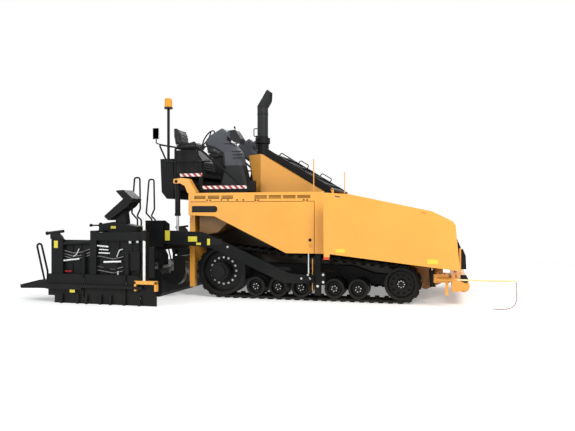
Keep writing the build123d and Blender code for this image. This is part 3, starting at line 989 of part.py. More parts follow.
with BuildPart() as lift_rods:
    bar((LIFT_X, -LIFT_Y, LIFT_BARREL_END + 3 * LIFT_R), (LIFT_X, -LIFT_Y, LIFT_FOOT), LIFT_ROD_R)
    cross_bar(LIFT_X, LIFT_FOOT, LIFT_Y - LIFT_EYE_HALF, LIFT_Y + LIFT_EYE_HALF, LIFT_EYE_R)
    mirror(about=Plane.XZ)
keep(lift_rods, "lift_rods")

# ================================================================ augers
rail_x = (AUGER_RAIL[0], REAR_STRIP[0][0])
rail_z = AUGER_RAIL[1:]
with BuildPart() as auger_case:
    block(rail_x, (-SCREED_HALF, 0), rail_z)
    block((rail_x[1] - BITE, HULL_REAR - PLATE), (-2 * CASE_HALF, 0), rail_z)
    block((HULL_REAR - PLATE - BITE, HULL_REAR), (-DIVIDER / 2, 0), rail_z)
    block((AUGER_X - CASE_HALF, rail_x[1]), (-CASE_HALF, 0), (AUGER_Z, rail_z[1]))
    bar((AUGER_X, -CASE_HALF, AUGER_Z), (AUGER_X, 0, AUGER_Z), CASE_R)
    with BuildSketch(Plane.XZ.offset(SCREED_HALF - HANGER_T)) as hanger:
        with Locations((AUGER_X, AUGER_Z)):
            Circle(HANGER_R)
            with Locations((0, HANGER_R / 2)):
                Rectangle(2 * HANGER_R, HANGER_R, mode=Mode.SUBTRACT)
            Circle(HANGER_NECK)
        with Locations(((AUGER_X + rail_x[1]) / 2, (AUGER_Z + rail_z[1]) / 2)):
            Rectangle(rail_x[1] - AUGER_X, rail_z[1] - AUGER_Z)
    extrude(hanger.sketch, amount=HANGER_T)
    mirror(about=Plane.XZ)
keep(auger_case, "auger_case")

auger_end = SCREED_HALF - HANGER_T - SEAT
flight_start, flight_end = CASE_HALF + SEAT + AUGER_STUB, auger_end - AUGER_STUB
with BuildPart() as auger:
    cross_bar(AUGER_X, AUGER_Z, CASE_HALF + SEAT, auger_end, AUGER_TUBE_R)
    with BuildLine() as flight_line:
        Helix(AUGER_PITCH, flight_end - flight_start, (AUGER_TUBE_R + AUGER_R) / 2,
              center=(AUGER_X, -flight_start, AUGER_Z), direction=(0, -1, 0))
    with BuildSketch(Plane(origin=flight_line.line @ 0, x_dir=(0, 0, 1), z_dir=flight_line.line % 0)) as blade:
        Rectangle(AUGER_R - AUGER_TUBE_R + 2 * BITE, AUGER_BLADE)
    sweep(blade.sketch, path=flight_line.line, is_frenet=True)
keep_pair(auger, "auger")

# ================================================================ screed
bridge_beam_front = BRIDGE[0][0]
with BuildPart() as screed_box:
    side_plate(SCREED, 0, SCREED_HALF)
    mirror(about=Plane.XZ)
keep(screed_box, "screed_box")

plate_out = SCREED_HALF - GUIDE_PLATE_T / 2
with BuildPart() as screed_bridge:
    side_plate(BRIDGE, BRIDGE_IN, BRIDGE_T - SEAT)
    block((bridge_beam_front - BRIDGE_BEAM_DEPTH, bridge_beam_front + BITE), (-ARM_IN + SEAT, 0), BRIDGE_BEAM)
    for inner in (GUIDE_PLATE_Y, plate_out - GUIDE_PLATE_T):
        side_plate(GUIDE_PLATE, inner, GUIDE_PLATE_T)
    mirror(about=Plane.XZ)
    for z in TUBES_RIGHT + TUBES_LEFT:
        bar((TUBE_X, -SCREED_HALF, z), (TUBE_X, SCREED_HALF, z), TUBE_R + SEAT, mode=Mode.SUBTRACT)
keep(screed_bridge, "screed_bridge")

with BuildPart() as walkway:
    block((TONGUE_REAR, SCREED_REAR), (-TONGUE, TONGUE), TONGUE_Z)
    for y in (-TONGUE_RAIL_Y, TONGUE_RAIL_Y):
        bent_tube([(x, y, z) for x, z in TONGUE_RAIL], LOOP_R, LOOP_BEND)
keep(walkway, "walkway")


def extender_parts(side, tubes):
    """The extender of one side: box, tubes, end frame, posts and rear step."""
    frame = (side * EXT_OUT, side * FRAME_OUT)
    with BuildSketch(Plane.XZ) as box_side:
        with BuildLine():
            Polyline(*EXT, close=True)
        make_face()
    box = extrude(box_side.sketch, amount=EXT_WIDTH, mode=Mode.PRIVATE)
    add(box.moved(Location((0, side * EXT_IN + (EXT_WIDTH if side > 0 else 0), 0))))
    for z in tubes:
        bar((TUBE_X, side * TUBE_INNER, z), (TUBE_X, side * (EXT_OUT + BITE), z), TUBE_R)
    rail_rear, rail_front, foot, top = FRAME_RAIL
    block((rail_rear, rail_front), frame, (foot, top))
    for rear, front, top_z in FRAME_POSTS:
        block((rear, front), frame, (foot, top_z))
    rear, front, beam_foot, beam_top = FRAME_TOP_BEAM
    block((rear, front), frame, (beam_foot, beam_top))
    pipe_rear, pipe_z, pipe_r = FRAME_CYLINDER
    pipe_y = side * (EXT_OUT + FRAME_T / 2)
    bar((FRAME_POSTS[0][1] - BITE, pipe_y, pipe_z), (FRAME_POSTS[1][0] + BITE, pipe_y, pipe_z + pipe_r), pipe_r)
    step_in = EXT_OUT - STEP_INSET
    with BuildSketch(Plane.XZ) as step_side:
        with BuildLine():
            Polyline(*REAR_STEP, close=True)
        make_face()
    step = extrude(step_side.sketch, amount=FRAME_OUT - step_in, mode=Mode.PRIVATE)
    add(step.moved(Location((0, side * (step_in if side < 0 else FRAME_OUT), 0))))
    bent_tube([(x, side * (EXT_OUT - LOOP_BEND), z) for x, z in STEP_LOOP], LOOP_R, LOOP_BEND)


with BuildPart() as extender_right:
    extender_parts(-1, TUBES_RIGHT)
keep(extender_right, "extender_right")
with BuildPart() as extender_left:
    extender_parts(1, TUBES_LEFT)
keep(extender_left, "extender_left")

rib_height, rib_lean = GATE_RIB
screw_y = BITE - GATE_IN - GATE_T - SCREW_R
with BuildPart() as endgate:
    side_plate(GATE, GATE_IN, GATE_T)
    side_plate(GATE_BEAM, GATE_IN + GATE_T - BITE, GATE_DEPTH - GATE_T + BITE)
    for x in GATE_RIBS:
        cross_plate(((GATE_IN + GATE_T - BITE, 0), (GATE_IN + GATE_DEPTH, 0),
                     (GATE_IN + GATE_T + rib_lean, rib_height), (GATE_IN + GATE_T - BITE, rib_height)),
                    x - GATE_RIB_T / 2, GATE_RIB_T)
    for x, foot in FRAME_SCREWS:
        bar((x, screw_y, foot), (x, screw_y, GATE[3][1]), SCREW_R)
keep_pair(endgate, "endgate")

crank_rear, crank_z, crank_r = CRANK
wheel_run, wheel_t, wheel_r = CRANK_WHEEL
knob_length, knob_r = CRANK_KNOB
with BuildPart() as control_pod:
    side_plate(POD_PANEL, POD_Y - POD_HALF, 2 * POD_HALF, bend=20)
    side_plate(POD_VISOR, POD_Y - POD_HALF, 2 * POD_HALF, bend=12)
    side_plate(POD_BOX, POD_Y - POD_HALF + POD_BOX_INSET, 2 * (POD_HALF - POD_BOX_INSET), bend=15)
    side_plate(POD_NECK, POD_Y - POD_HALF / 2, POD_HALF)
    block(POD_FOOT, (-FRAME_OUT, -POD_Y + POD_HALF), (FRAME_TOP_BEAM[3], FRAME_TOP_BEAM[3] + POD_FOOT_T))
    for start, end, radius in ((0, POD_BOX[2][0] - crank_rear, crank_r), (0, knob_length, knob_r),
                               (wheel_run, wheel_run + wheel_t, wheel_r)):
        bar((crank_rear + start, -POD_Y, crank_z), (crank_rear + end, -POD_Y, crank_z), radius)
keep_pair(control_pod, "control_pod")
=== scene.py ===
# %% [markdown]
# # A tracked asphalt paver
#
# The solids come from the frame, in metres, with X forward, Y to the machine's left and Z up, and
# they keep their places and shapes. This lesson gives each solid a finish that belongs to the real
# material, and adds what is too small or too soft to be a solid: padded seats, the links of the
# chain, bolts, seals, warning tape, plates, lenses and glass.

import json
import math

import bmesh
import bpy
from mathutils import Matrix, Vector


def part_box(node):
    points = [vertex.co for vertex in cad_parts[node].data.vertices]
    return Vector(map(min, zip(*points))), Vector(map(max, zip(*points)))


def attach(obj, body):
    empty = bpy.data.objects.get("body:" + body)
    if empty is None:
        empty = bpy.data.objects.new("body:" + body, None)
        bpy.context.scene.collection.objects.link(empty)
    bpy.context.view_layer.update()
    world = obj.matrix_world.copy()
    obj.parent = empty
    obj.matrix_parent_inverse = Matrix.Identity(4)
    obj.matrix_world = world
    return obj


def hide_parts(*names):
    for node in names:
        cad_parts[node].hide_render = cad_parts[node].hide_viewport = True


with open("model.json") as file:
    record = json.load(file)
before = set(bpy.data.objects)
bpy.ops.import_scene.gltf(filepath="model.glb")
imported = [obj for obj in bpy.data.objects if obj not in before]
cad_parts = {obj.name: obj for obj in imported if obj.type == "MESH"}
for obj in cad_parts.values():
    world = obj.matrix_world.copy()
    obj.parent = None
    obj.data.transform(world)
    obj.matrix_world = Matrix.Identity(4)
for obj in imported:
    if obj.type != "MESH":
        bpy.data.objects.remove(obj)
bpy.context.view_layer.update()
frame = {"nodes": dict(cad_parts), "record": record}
nodes = frame["nodes"]

# %% [markdown]
# ## Helpers
#
# Colours are written as the eye knows them, in sRGB hex, and one function turns them to the linear
# values that light is worked out in. One function adds a node with its settings and links.


# %% Colour, node and object helpers
def linear(hex_code):
    """An sRGB hex colour as linear red, green, blue and alpha."""
    parts = [int(hex_code[i:i + 2], 16) / 255 for i in (0, 2, 4)]
    straight = [c / 12.92 if c <= 0.04045 else ((c + 0.055) / 1.055) ** 2.4 for c in parts]
    return (*straight, 1.0)


def add(tree, kind, settings=None, **inputs):
    """Add a node: settings are its own properties, inputs are values or sockets to link."""
    node = tree.nodes.new(kind)
    for name, value in (settings or {}).items():
        setattr(node, name, value)
    for name, value in inputs.items():
        key = int(name[1:]) if name[1:].isdigit() else name.replace("_", " ")
        socket = node.inputs[key]
        if isinstance(value, bpy.types.NodeSocket):
            tree.links.new(value, socket)
        else:
            socket.default_value = value
    return node


def put(name, data):
    """A new object with this data, in the scene."""
    obj = bpy.data.objects.new(name, data)
    bpy.context.scene.collection.objects.link(obj)
    return obj


def evaluated(obj):
    """The plain mesh that an object's modifiers make."""
    return bpy.data.meshes.new_from_object(
        obj.evaluated_get(bpy.context.evaluated_depsgraph_get()))


print("helpers ready")

# %% [markdown]
# ## Camera
#
# The machine is seen from its right side, a little ahead of the middle, from a standing person's
# eye height. A level camera keeps the upright edges parallel, so all the perspective is sideways:
# it is only turned back towards the screed. The lens is close to a 37 mm one on full frame.

# %% Camera
EYE = (2.76, -10.63, 1.3735)
TURN_BACK = math.radians(14.5)
LENS = 37.25            # millimetres

camera_data = bpy.data.cameras.new("camera")
camera_data.lens = LENS
camera = put("camera", camera_data)
camera.location = EYE
camera.rotation_euler = (math.radians(90), 0, TURN_BACK)
bpy.context.scene.camera = camera
print("camera", EYE)

# %% [markdown]
# ## The line of the guide chain
#
# A light plastic chain hangs from the tip of the steel guide rod, and its loose end lies back along
# the ground. A chain has no stiffness of its own, so its line is smooth only because the links are
# short. A quadratic NURBS that is clamped at both ends follows a few given points:
# straight down from the tip, a wide turn where it meets the ground, and a nearly straight run.

# %% Chain line
CHAIN_POINTS = [
    (3.806, -1.484, 0.4067), (3.808, -1.484, 0.335), (3.815, -1.483, 0.245),
    (3.814, -1.480, 0.150), (3.790, -1.478, 0.075), (3.730, -1.476, 0.025),
    (3.650, -1.478, 0.0105), (3.570, -1.481, 0.0088), (3.490, -1.480, 0.0083),
]
LINK_WIDTH = 0.016      # across a link's outside
LINK_WIRE = 0.0062      # thickness of the moulded ring
LINK_LENGTH = 0.026
LINE_STEPS = 24         # straight pieces between two points of the line

line_data = bpy.data.curves.new("chain_line", "CURVE")
line_data.dimensions = "3D"
line_data.resolution_u = LINE_STEPS
spline = line_data.splines.new("NURBS")
spline.points.add(len(CHAIN_POINTS) - 1)
for point, place in zip(spline.points, CHAIN_POINTS):
    point.co = (*place, 1)
spline.order_u = 3
spline.use_endpoint_u = True
chain_line = put("chain_line", line_data)
line_mesh = bpy.data.meshes.new_from_object(chain_line)
chain_path = [vertex.co.copy() for vertex in line_mesh.vertices]
chain_length = sum((b - a).length for a, b in zip(chain_path, chain_path[1:]))
bpy.data.objects.remove(chain_line)
print("chain", round(chain_length, 3), "m through", len(chain_path), "points")

# %% [markdown]
# ## Finishes
#
# Every finish starts from what the real surface is and how it was made. All of them read object
# coordinates, which are metres on the machine, so a grain of 2 mm stays 2 mm on every piece. One
# recipe serves them: two colours mixed by a cloudy noise, a gloss that varies with it, and a
# relief. What differs is the scale and the amounts.


# %% The shared recipe
def finish(name, base, second, cloud_mm, rough, rough_spread=0.06, metal=0.0, coat=0.0,
           grain_mm=0.0, grain_depth=0.0, specular=0.5, dust=0.0):
    """A finish from two colours, a cloud size, a gloss range and a fine relief.

    dust is how much pale dust lies on the lowest half metre."""
    material = bpy.data.materials.new(name)
    material.use_nodes = True
    tree = material.node_tree
    shader = tree.nodes["Principled BSDF"]
    place = add(tree, "ShaderNodeTexCoord").outputs["Object"]
    cloud = add(tree, "ShaderNodeTexNoise", Vector=place, Scale=1000 / cloud_mm, Detail=5.0,
                Roughness=0.6).outputs["Fac"]
    amount = add(tree, "ShaderNodeMapRange", {"interpolation_type": "SMOOTHSTEP"}, Value=cloud,
                 From_Min=0.42, From_Max=0.68).outputs["Result"]
    colour = add(tree, "ShaderNodeMix", {"data_type": "RGBA"}, _0=amount, _6=linear(base),
                 _7=linear(second)).outputs[2]
    if dust:
        height = add(tree, "ShaderNodeSeparateXYZ", Vector=place).outputs["Z"]
        low = add(tree, "ShaderNodeMapRange", Value=height, From_Min=0.0, From_Max=0.55,
                  To_Min=dust, To_Max=0.0).outputs["Result"]
        patchy = add(tree, "ShaderNodeMath", {"operation": "MULTIPLY"}, _0=low, _1=cloud).outputs[0]
        colour = add(tree, "ShaderNodeMix", {"data_type": "RGBA"}, _0=patchy, _6=colour,
                     _7=linear("8e877b")).outputs[2]
    gloss = add(tree, "ShaderNodeMapRange", Value=cloud, To_Min=rough - rough_spread,
                To_Max=rough + rough_spread).outputs["Result"]
    tree.links.new(colour, shader.inputs["Base Color"])
    tree.links.new(gloss, shader.inputs["Roughness"])
    shader.inputs["Metallic"].default_value = metal
    shader.inputs["Coat Weight"].default_value = coat
    shader.inputs["Coat Roughness"].default_value = 0.12
    shader.inputs["Specular IOR Level"].default_value = specular
    if grain_depth:
        grain = add(tree, "ShaderNodeTexNoise", Vector=place, Scale=1000 / grain_mm, Detail=2.0)
        relief = add(tree, "ShaderNodeBump", Height=grain.outputs["Fac"], Distance=grain_depth,
                     Strength=1.0)
        tree.links.new(relief.outputs["Normal"], shader.inputs["Normal"])
    return material


print("finish recipe ready")

# %% [markdown]
# Some surfaces change colour or gloss at a straight line, such as a pad on a console. Three
# comparisons of X, Y and Z with a box's limits, multiplied together, give a mask for that box.


# %% Zones of another colour
def inside(tree, low, high):
    """A mask that is 1 inside the box between two corners of the machine, and 0 outside."""
    place = add(tree, "ShaderNodeTexCoord").outputs["Object"]
    axes = add(tree, "ShaderNodeSeparateXYZ", Vector=place)
    mask = None
    for axis, bottom, top in zip("XYZ", low, high):
        here = add(tree, "ShaderNodeMath", {"operation": "COMPARE"}, _0=axes.outputs[axis],
                   _1=(bottom + top) / 2, _2=(top - bottom) / 2).outputs[0]
        mask = here if mask is None else add(tree, "ShaderNodeMath", {"operation": "MULTIPLY"},
                                             _0=mask, _1=here).outputs[0]
    return mask


def with_zones(material, *zones):
    """A copy of a finish whose colour, metal and gloss change inside some boxes.

    Each zone is (low corner, high corner, hex colour, metallic, roughness)."""
    result = material.copy()
    tree = result.node_tree
    shader = tree.nodes["Principled BSDF"]
    for low, high, hex_code, metal, rough in zones:
        mask = inside(tree, low, high)
        wanted = {"Base Color": linear(hex_code), "Metallic": metal, "Roughness": rough}
        for name, value in wanted.items():
            socket = shader.inputs[name]
            kind = "RGBA" if name == "Base Color" else "FLOAT"
            first, second, out = (6, 7, 2) if kind == "RGBA" else (2, 3, 0)
            mix = add(tree, "ShaderNodeMix", {"data_type": kind}, _0=mask)
            if socket.is_linked:
                tree.links.new(socket.links[0].from_socket, mix.inputs[first])
            else:
                mix.inputs[first].default_value = socket.default_value
            mix.inputs[second].default_value = value
            tree.links.new(mix.outputs[out], socket)
    return result


print("zones ready")

# %% [markdown]
# ### Paint, steel and rubber
#
# The body is sheet steel in a baked yellow-orange enamel: an even colour under a thin clear gloss.
# The hood's is darker, as painted shade for the lesser light on its side, and duller in gloss, and
# the guide rod's is pale.
# The frames, arms and screed wear a black powder coat, which is duller, with a faint orange-peel
# relief about 2 mm across. The track is carbon-black rubber, dusty near the ground. The feeder bars
# and augers are bare steel, scoured bright by hot asphalt, so they take a metal's colour.

# %% Hard finishes
enamel = finish("enamel_yellow", "efa945", "eba33f", 900, 0.36, 0.04, coat=0.25, grain_mm=2.5,
                grain_depth=0.00003)
powder_coat = finish("powder_coat_black", "101112", "171717", 500, 0.50, 0.06, grain_mm=2.0,
                     grain_depth=0.00005, specular=0.14, dust=0.05)
rubber = finish("rubber_black", "0c0c0c", "121211", 120, 0.78, 0.08, grain_mm=4.0,
                grain_depth=0.0003, specular=0.12, dust=0.12)
wheel_steel = finish("wheel_enamel_black", "0d0d0e", "151514", 250, 0.46, 0.08, specular=0.2,
                     dust=0.07)
chrome = finish("hard_chrome", "d4d6d8", "c6c9cc", 400, 0.1, 0.03, metal=1.0)
scoured_steel = finish("scoured_steel", "8b8a87", "6f6c68", 60, 0.38, 0.12, metal=0.9, grain_mm=3.0,
                       grain_depth=0.0002)
zinc = finish("zinc_plate", "c9cbcb", "aeb0b0", 20, 0.32, 0.08, metal=0.85)
white_enamel = finish("enamel_white", "ecebe8", "e2e1dd", 200, 0.4, 0.05)
pale_enamel = finish("enamel_pale", "efd9a0", "e8cf92", 300, 0.4, 0.05)
# Painted shade: the hood's colours are darker than the body's for the lesser light on its side.
hood_enamel_painted_shade = finish("enamel_hood", "d9983f", "d2913a", 900, 0.4, 0.04, coat=0.15, grain_mm=2.5,
                     grain_depth=0.00003)
console_grey = finish("moulded_grey", "46484d", "4e5156", 300, 0.6, 0.05, grain_mm=1.5,
                      grain_depth=0.00008, specular=0.3)
hard_black = finish("moulded_black", "0b0b0c", "121213", 100, 0.5, 0.06, grain_mm=1.2,
                    grain_depth=0.00006, specular=0.2)
red_plastic = finish("plastic_red", "8c1718", "9c2422", 30, 0.45, specular=0.2)
white_plastic = finish("plastic_white", "ebe6e2", "dcd6d0", 30, 0.45)
lens_orange = finish("lens_orange", "c8451c", "d25426", 12, 0.25, coat=0.4)
label_vinyl = finish("vinyl_yellow", "dccf42", "d4c63c", 40, 0.4)
plate_black = finish("anodised_black", "09090a", "0e0e0f", 30, 0.4, specular=0.25)
dull_steel = finish("dull_steel", "6f6f6c", "4d4c4a", 40, 0.45, 0.1, metal=0.8, grain_mm=4.0,
                    grain_depth=0.0002)
mirror_glass = finish("silvered_glass", "dfe4e6", "d8dde0", 300, 0.04, 0.01, metal=1.0)
print("hard finishes made")

# %% [markdown]
# ### The beacon's lens
#
# The beacon is clear amber polycarbonate over a reflector, ribbed all round to spread the flash.
# Ribs every few degrees come from the angle about the beacon's own axis, worked out from object
# coordinates, and they only tilt the surface: the shape stays the solid's.

# %% Amber lens
RIBS_ROUND = 36
RIB_DEPTH = 0.0007
FOOT_HEIGHT = 0.030     # the lens stands on a black foot
CLEAR = 0.01            # zones reach this far past a solid
beacon_low, beacon_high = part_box("beacon")
beacon_middle = (beacon_low + beacon_high) / 2
amber = finish("amber_polycarbonate", "f79c1e", "fba933", 40, 0.34, 0.04, specular=0.3)
tree = amber.node_tree
shader = tree.nodes["Principled BSDF"]
place = add(tree, "ShaderNodeTexCoord").outputs["Object"]
centred = add(tree, "ShaderNodeVectorMath", {"operation": "SUBTRACT"}, _0=place, _1=beacon_middle)
axes = add(tree, "ShaderNodeSeparateXYZ", Vector=centred.outputs[0])
angle = add(tree, "ShaderNodeMath", {"operation": "ARCTAN2"}, _0=axes.outputs["Y"],
            _1=axes.outputs["X"])
wave = add(tree, "ShaderNodeMath", {"operation": "MULTIPLY"}, _0=angle.outputs[0],
           _1=float(RIBS_ROUND))
ribs = add(tree, "ShaderNodeMath", {"operation": "SINE"}, _0=wave.outputs[0])
relief = add(tree, "ShaderNodeBump", Height=ribs.outputs[0], Distance=RIB_DEPTH, Strength=1.0)
tree.links.new(relief.outputs["Normal"], shader.inputs["Normal"])
foot_top = (beacon_high.x + CLEAR, beacon_high.y + CLEAR, beacon_low.z + FOOT_HEIGHT)
amber = with_zones(amber, (beacon_low - Vector((CLEAR, CLEAR, CLEAR)), foot_top,
                           "161617", 0.0, 0.5))
print("beacon ribs", RIBS_ROUND)

# %% [markdown]
# ### Seat vinyl
#
# The seats are black vinyl on foam. Its leather grain is a fine cell pattern about 2 mm wide, drawn
# a little coarser than life so that it shows, and it has a soft sheen.

# %% Seat vinyl
GRAIN_MM = 3.0
GRAIN_DEPTH = 0.0004
vinyl = finish("vinyl_black", "0e0f10", "161718", 60, 0.52, 0.06, specular=0.25)
tree = vinyl.node_tree
shader = tree.nodes["Principled BSDF"]
place = add(tree, "ShaderNodeTexCoord").outputs["Object"]
cells = add(tree, "ShaderNodeTexVoronoi", {"feature": "DISTANCE_TO_EDGE"}, Vector=place,
            Scale=1000 / GRAIN_MM)
relief = add(tree, "ShaderNodeBump", Height=cells.outputs["Distance"], Distance=GRAIN_DEPTH,
             Strength=0.6)
tree.links.new(relief.outputs["Normal"], shader.inputs["Normal"])
shader.inputs["Sheen Weight"].default_value = 0.15
print("vinyl grain", GRAIN_MM, "mm")

# %% [markdown]
# ### Finishes on the solids
#
# Most solids take one finish. Some show two: a black tow block with a chromed rod, or a grey
# console with a black pad and a black foot. There the finish changes inside a box of the machine's
# space, which is set from the solid's own box where it can be.

# %% Finishes with zones
FAR = 9.0               # past the machine on every side
ROD_RUN, BLOCK_TOP = 0.065, 0.43        # the tow block's rod, and the top of its block
PAD_RUN, PAD_FROM = 0.33, 2.63          # the console's pad: length from the front, lower edge
FOOT_TOP = 2.24                         # the console's foot
PIPE_FROM = 2.79                        # the exhaust's pipe, above its base

tow_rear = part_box("tow_blocks")[0].x
tow_finish = with_zones(powder_coat, ((tow_rear - CLEAR, -FAR, BLOCK_TOP),
                                      (tow_rear + ROD_RUN, FAR, FAR), "d4d6d8", 1.0, 0.12))
console_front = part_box("consoles")[1].x
console_finish = with_zones(
    console_grey,
    ((console_front - PAD_RUN, -FAR, PAD_FROM), (FAR, FAR, FAR), "161617", 0.0, 0.5),
    ((-FAR, -FAR, 0.0), (FAR, FAR, FOOT_TOP), "18191a", 0.0, 0.5))
stack_finish = with_zones(powder_coat, ((-FAR, -FAR, PIPE_FROM), (FAR, FAR, FAR),
                                        "2a2b2c", 0.0, 0.42))
print("zones on tow blocks, consoles and exhaust")

# %% Painted shade behind the panels and tracks, and in the slots
# The steel that the panels and tracks hide is darkened as painted shade, and the walls inside the
# slots and door gaps are painted black as shade.
# Painted shade: dark brown on the chassis inside the tracks, darker yellow on its nose under the
# hopper.
hull_painted_shade = with_zones(enamel, ((-1.30, -1.18, 0.0), (2.25, 1.18, 1.42), "2b2013", 0.0, 0.7),
                         ((2.25, -1.30, 0.0), (2.90, 1.30, 0.62), "a8742f", 0.0, 0.55))
# Painted shade: the side frames and tanks under the doors take a dark amber for the doors' shadow.
frame_painted_shade = with_zones(enamel, ((-1.285, -1.35, 0.0), (0.85, 1.35, 1.45),
                                   "6f5026", 0.0, 0.6))
# Painted shade: the slot and gap walls and the panel's inside behind them are black for the shade
# there.
SLOT_REACH = 0.1        # through a panel's thickness and past it
slots = [((x0, y0, z0), (x1, y0 + SLOT_REACH, z1), "070605", 0.0, 0.8)
         for x0, x1, z0, z1 in ((-1.245, -0.60, 1.640, 1.712), (-0.19, 0.765, 1.640, 1.712),
                                (-1.35, 0.820, 1.590, 1.612), (0.798, 0.820, 0.770, 1.612))
         for y0 in (-1.398, 1.298)]
panel_finish = with_zones(enamel, *slots)
print(len(slots), "slots in the panels")

# %% Give each solid its finish
FINISH_OF = {
    "yellow_paint": enamel, "black_paint": powder_coat, "track_rubber": rubber, "chrome": chrome,
    "worn_steel": scoured_steel, "grey_plastic": console_finish, "seat_cover": vinyl,
    "amber_lens": amber, "red_white_plastic": red_plastic,
}
OWN_FINISH = {
    "tow_blocks": tow_finish, "exhaust": stack_finish, "drive_wheels": wheel_steel,
    "road_wheels": wheel_steel, "seat_bases": hard_black, "push_roller_right": enamel,
    "push_roller_left": enamel, "chassis": hull_painted_shade, "guide_rod": pale_enamel,
    "side_frames": frame_painted_shade, "hood": hood_enamel_painted_shade,
    "side_panel_right": panel_finish, "side_panel_left": panel_finish,
    "service_door_right": panel_finish, "service_door_left": panel_finish,
}
for subpart in frame["record"]["subparts"]:
    name = subpart["node"]
    solid = nodes[name]
    solid.data.materials.clear()
    solid.data.materials.append(OWN_FINISH.get(name, FINISH_OF[subpart["material_slot"]]))
print("finished", len(nodes), "solids")

# %% [markdown]
# ## Pieces on both sides
#
# Nearly every fitting is there twice, on the machine's left and on its right. So a piece is a list
# of shapes that are given for the left side, each with the function that makes it, its points and
# its other numbers. One function builds them on both sides as one piece, for fittings on a body in
# the middle, and another makes a piece for each side. A piece is a mesh at the origin, with its
# place in its points, and it rides on the body that carries it.


# %% Finished pieces
SIDES = {"left": 1, "right": -1}        # the sign of Y on each side


def own_mesh(name, mesh, body, material=None):
    """A mesh as an object on its body, and one finish unless it keeps its own."""
    if material:
        mesh.materials.clear()
        mesh.materials.append(material)
    obj = put(name, mesh)
    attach(obj, body)
    return obj


def build(name, body, material, slot, shapes, sides=("left", "right")):
    """One piece on one body, with every shape made on each of these sides."""
    bm = bmesh.new()
    for side in sides:
        for make, points, *numbers in shapes:
            make(bm, [Vector((x, SIDES[side] * y, z)) for x, y, z in points], *numbers)
    bmesh.ops.recalc_face_normals(bm, faces=bm.faces)
    mesh = bpy.data.meshes.new(name)
    bm.to_mesh(mesh)
    bm.free()
    return own_mesh(name, mesh, body, material)


def build_pair(name, body, material, slot, shapes):
    """A left piece and a right piece, each on its own side's body."""
    for side in SIDES:
        build(f"{name}_{side}", f"{body}_{side}", material, slot, shapes, [side])


print("piece builders ready")


# %% Boxes, rods and plates
def box(bm, corners, bevel=0.0):
    """A box between two opposite corners, its edges rounded off by a bevel."""
    low, high = (Vector([pick(pair) for pair in zip(*corners)]) for pick in (min, max))
    place = Matrix.Translation((low + high) / 2) @ Matrix.Diagonal((*(high - low), 1))
    made = bmesh.ops.create_cube(bm, size=1, matrix=place)
    if bevel:
        edges = list({edge for vertex in made["verts"] for edge in vertex.link_edges})
        bmesh.ops.bevel(bm, geom=edges, offset=bevel, segments=2, affect="EDGES", profile=0.5)


def rod(bm, ends, radius, sides=20, end_radius=None):
    """A round bar, or a cone, between two points."""
    start, end = ends
    axis = end - start
    turn = axis.to_track_quat("Z", "Y").to_matrix().to_4x4()
    bmesh.ops.create_cone(bm, cap_ends=True, segments=sides, radius1=radius,
                          radius2=radius if end_radius is None else end_radius,
                          depth=axis.length, matrix=Matrix.Translation((start + end) / 2) @ turn)


def plate(bm, outline, outer):
    """An upright plate along the machine, from its inner face's outline out to |Y| = outer."""
    far = math.copysign(outer, outline[0].y)
    first = [bm.verts.new(point) for point in outline]
    second = [bm.verts.new((point.x, far, point.z)) for point in outline]
    bm.faces.new(first)
    bm.faces.new(reversed(second))
    for i in range(len(outline)):
        j = (i + 1) % len(outline)
        bm.faces.new((first[i], second[i], second[j], first[j]))


def upright(y, outline):
    """The points of an (X, Z) outline at one Y."""
    return [(x, y, z) for x, z in outline]


print("boxes, rods and plates ready")


# %% Bent tubes
def tube(bm, points, radius, sides=12, bend=0.03, steps=5):
    """A round tube through points in space, with each corner turned on an arc."""
    path = [points[0]]
    for before, here, after in zip(points, points[1:], points[2:]):
        coming, going = (here - before).normalized(), (after - here).normalized()
        reach = min(bend, (here - before).length / 2.1, (after - here).length / 2.1)
        for step in range(steps + 1):
            t = step / steps
            path.append(here - coming * reach * (1 - t) ** 2 + going * reach * t ** 2)
    path.append(points[-1])
    rings, side = [], None
    for index, point in enumerate(path):
        ahead = path[min(index + 1, len(path) - 1)] - path[max(index - 1, 0)]
        ahead.normalize()
        if side is None:
            side = ahead.orthogonal().normalized()
        side = (side - ahead * side.dot(ahead)).normalized()
        up = ahead.cross(side)
        rings.append([bm.verts.new(point + (side * math.cos(a) + up * math.sin(a)) * radius)
                      for a in (2 * math.pi * k / sides for k in range(sides))])
    for first, second in zip(rings, rings[1:]):
        for k in range(sides):
            bm.faces.new((first[k], first[(k + 1) % sides], second[(k + 1) % sides], second[k]))
    bm.faces.new(reversed(rings[0]))
    bm.faces.new(rings[-1])


print("tubes ready")

# %% [markdown]
# ## Seals, and a black sheet as painted shade
#
# A sheet-steel side panel has a rubber strip behind the gap over its door. The same black strip
# runs on behind the louvres as painted shade, a dark sheet where the engine bay lies in shade, so
# that nothing shines through from the other side. Both are one flat strip inside each panel.

# %% Strips behind the panels
seals_and_shade_sheet = build("panel_seals", "tractor", rubber, "track_rubber",
              [(box, [(-1.335, 1.346, 1.588), (0.93, 1.359, 1.722)], 0.003)])
print("seal faces", len(seals_and_shade_sheet.data.polygons))

# %% [markdown]
# ## Bolts
#
# Hexagon bolts repeat by the dozen round the wheels, along the panels and on the arms. Geometry
# Nodes suit them: each place is one point with the direction that its face looks in, and the tree
# sets a washer and a head on every point, turned to that direction.


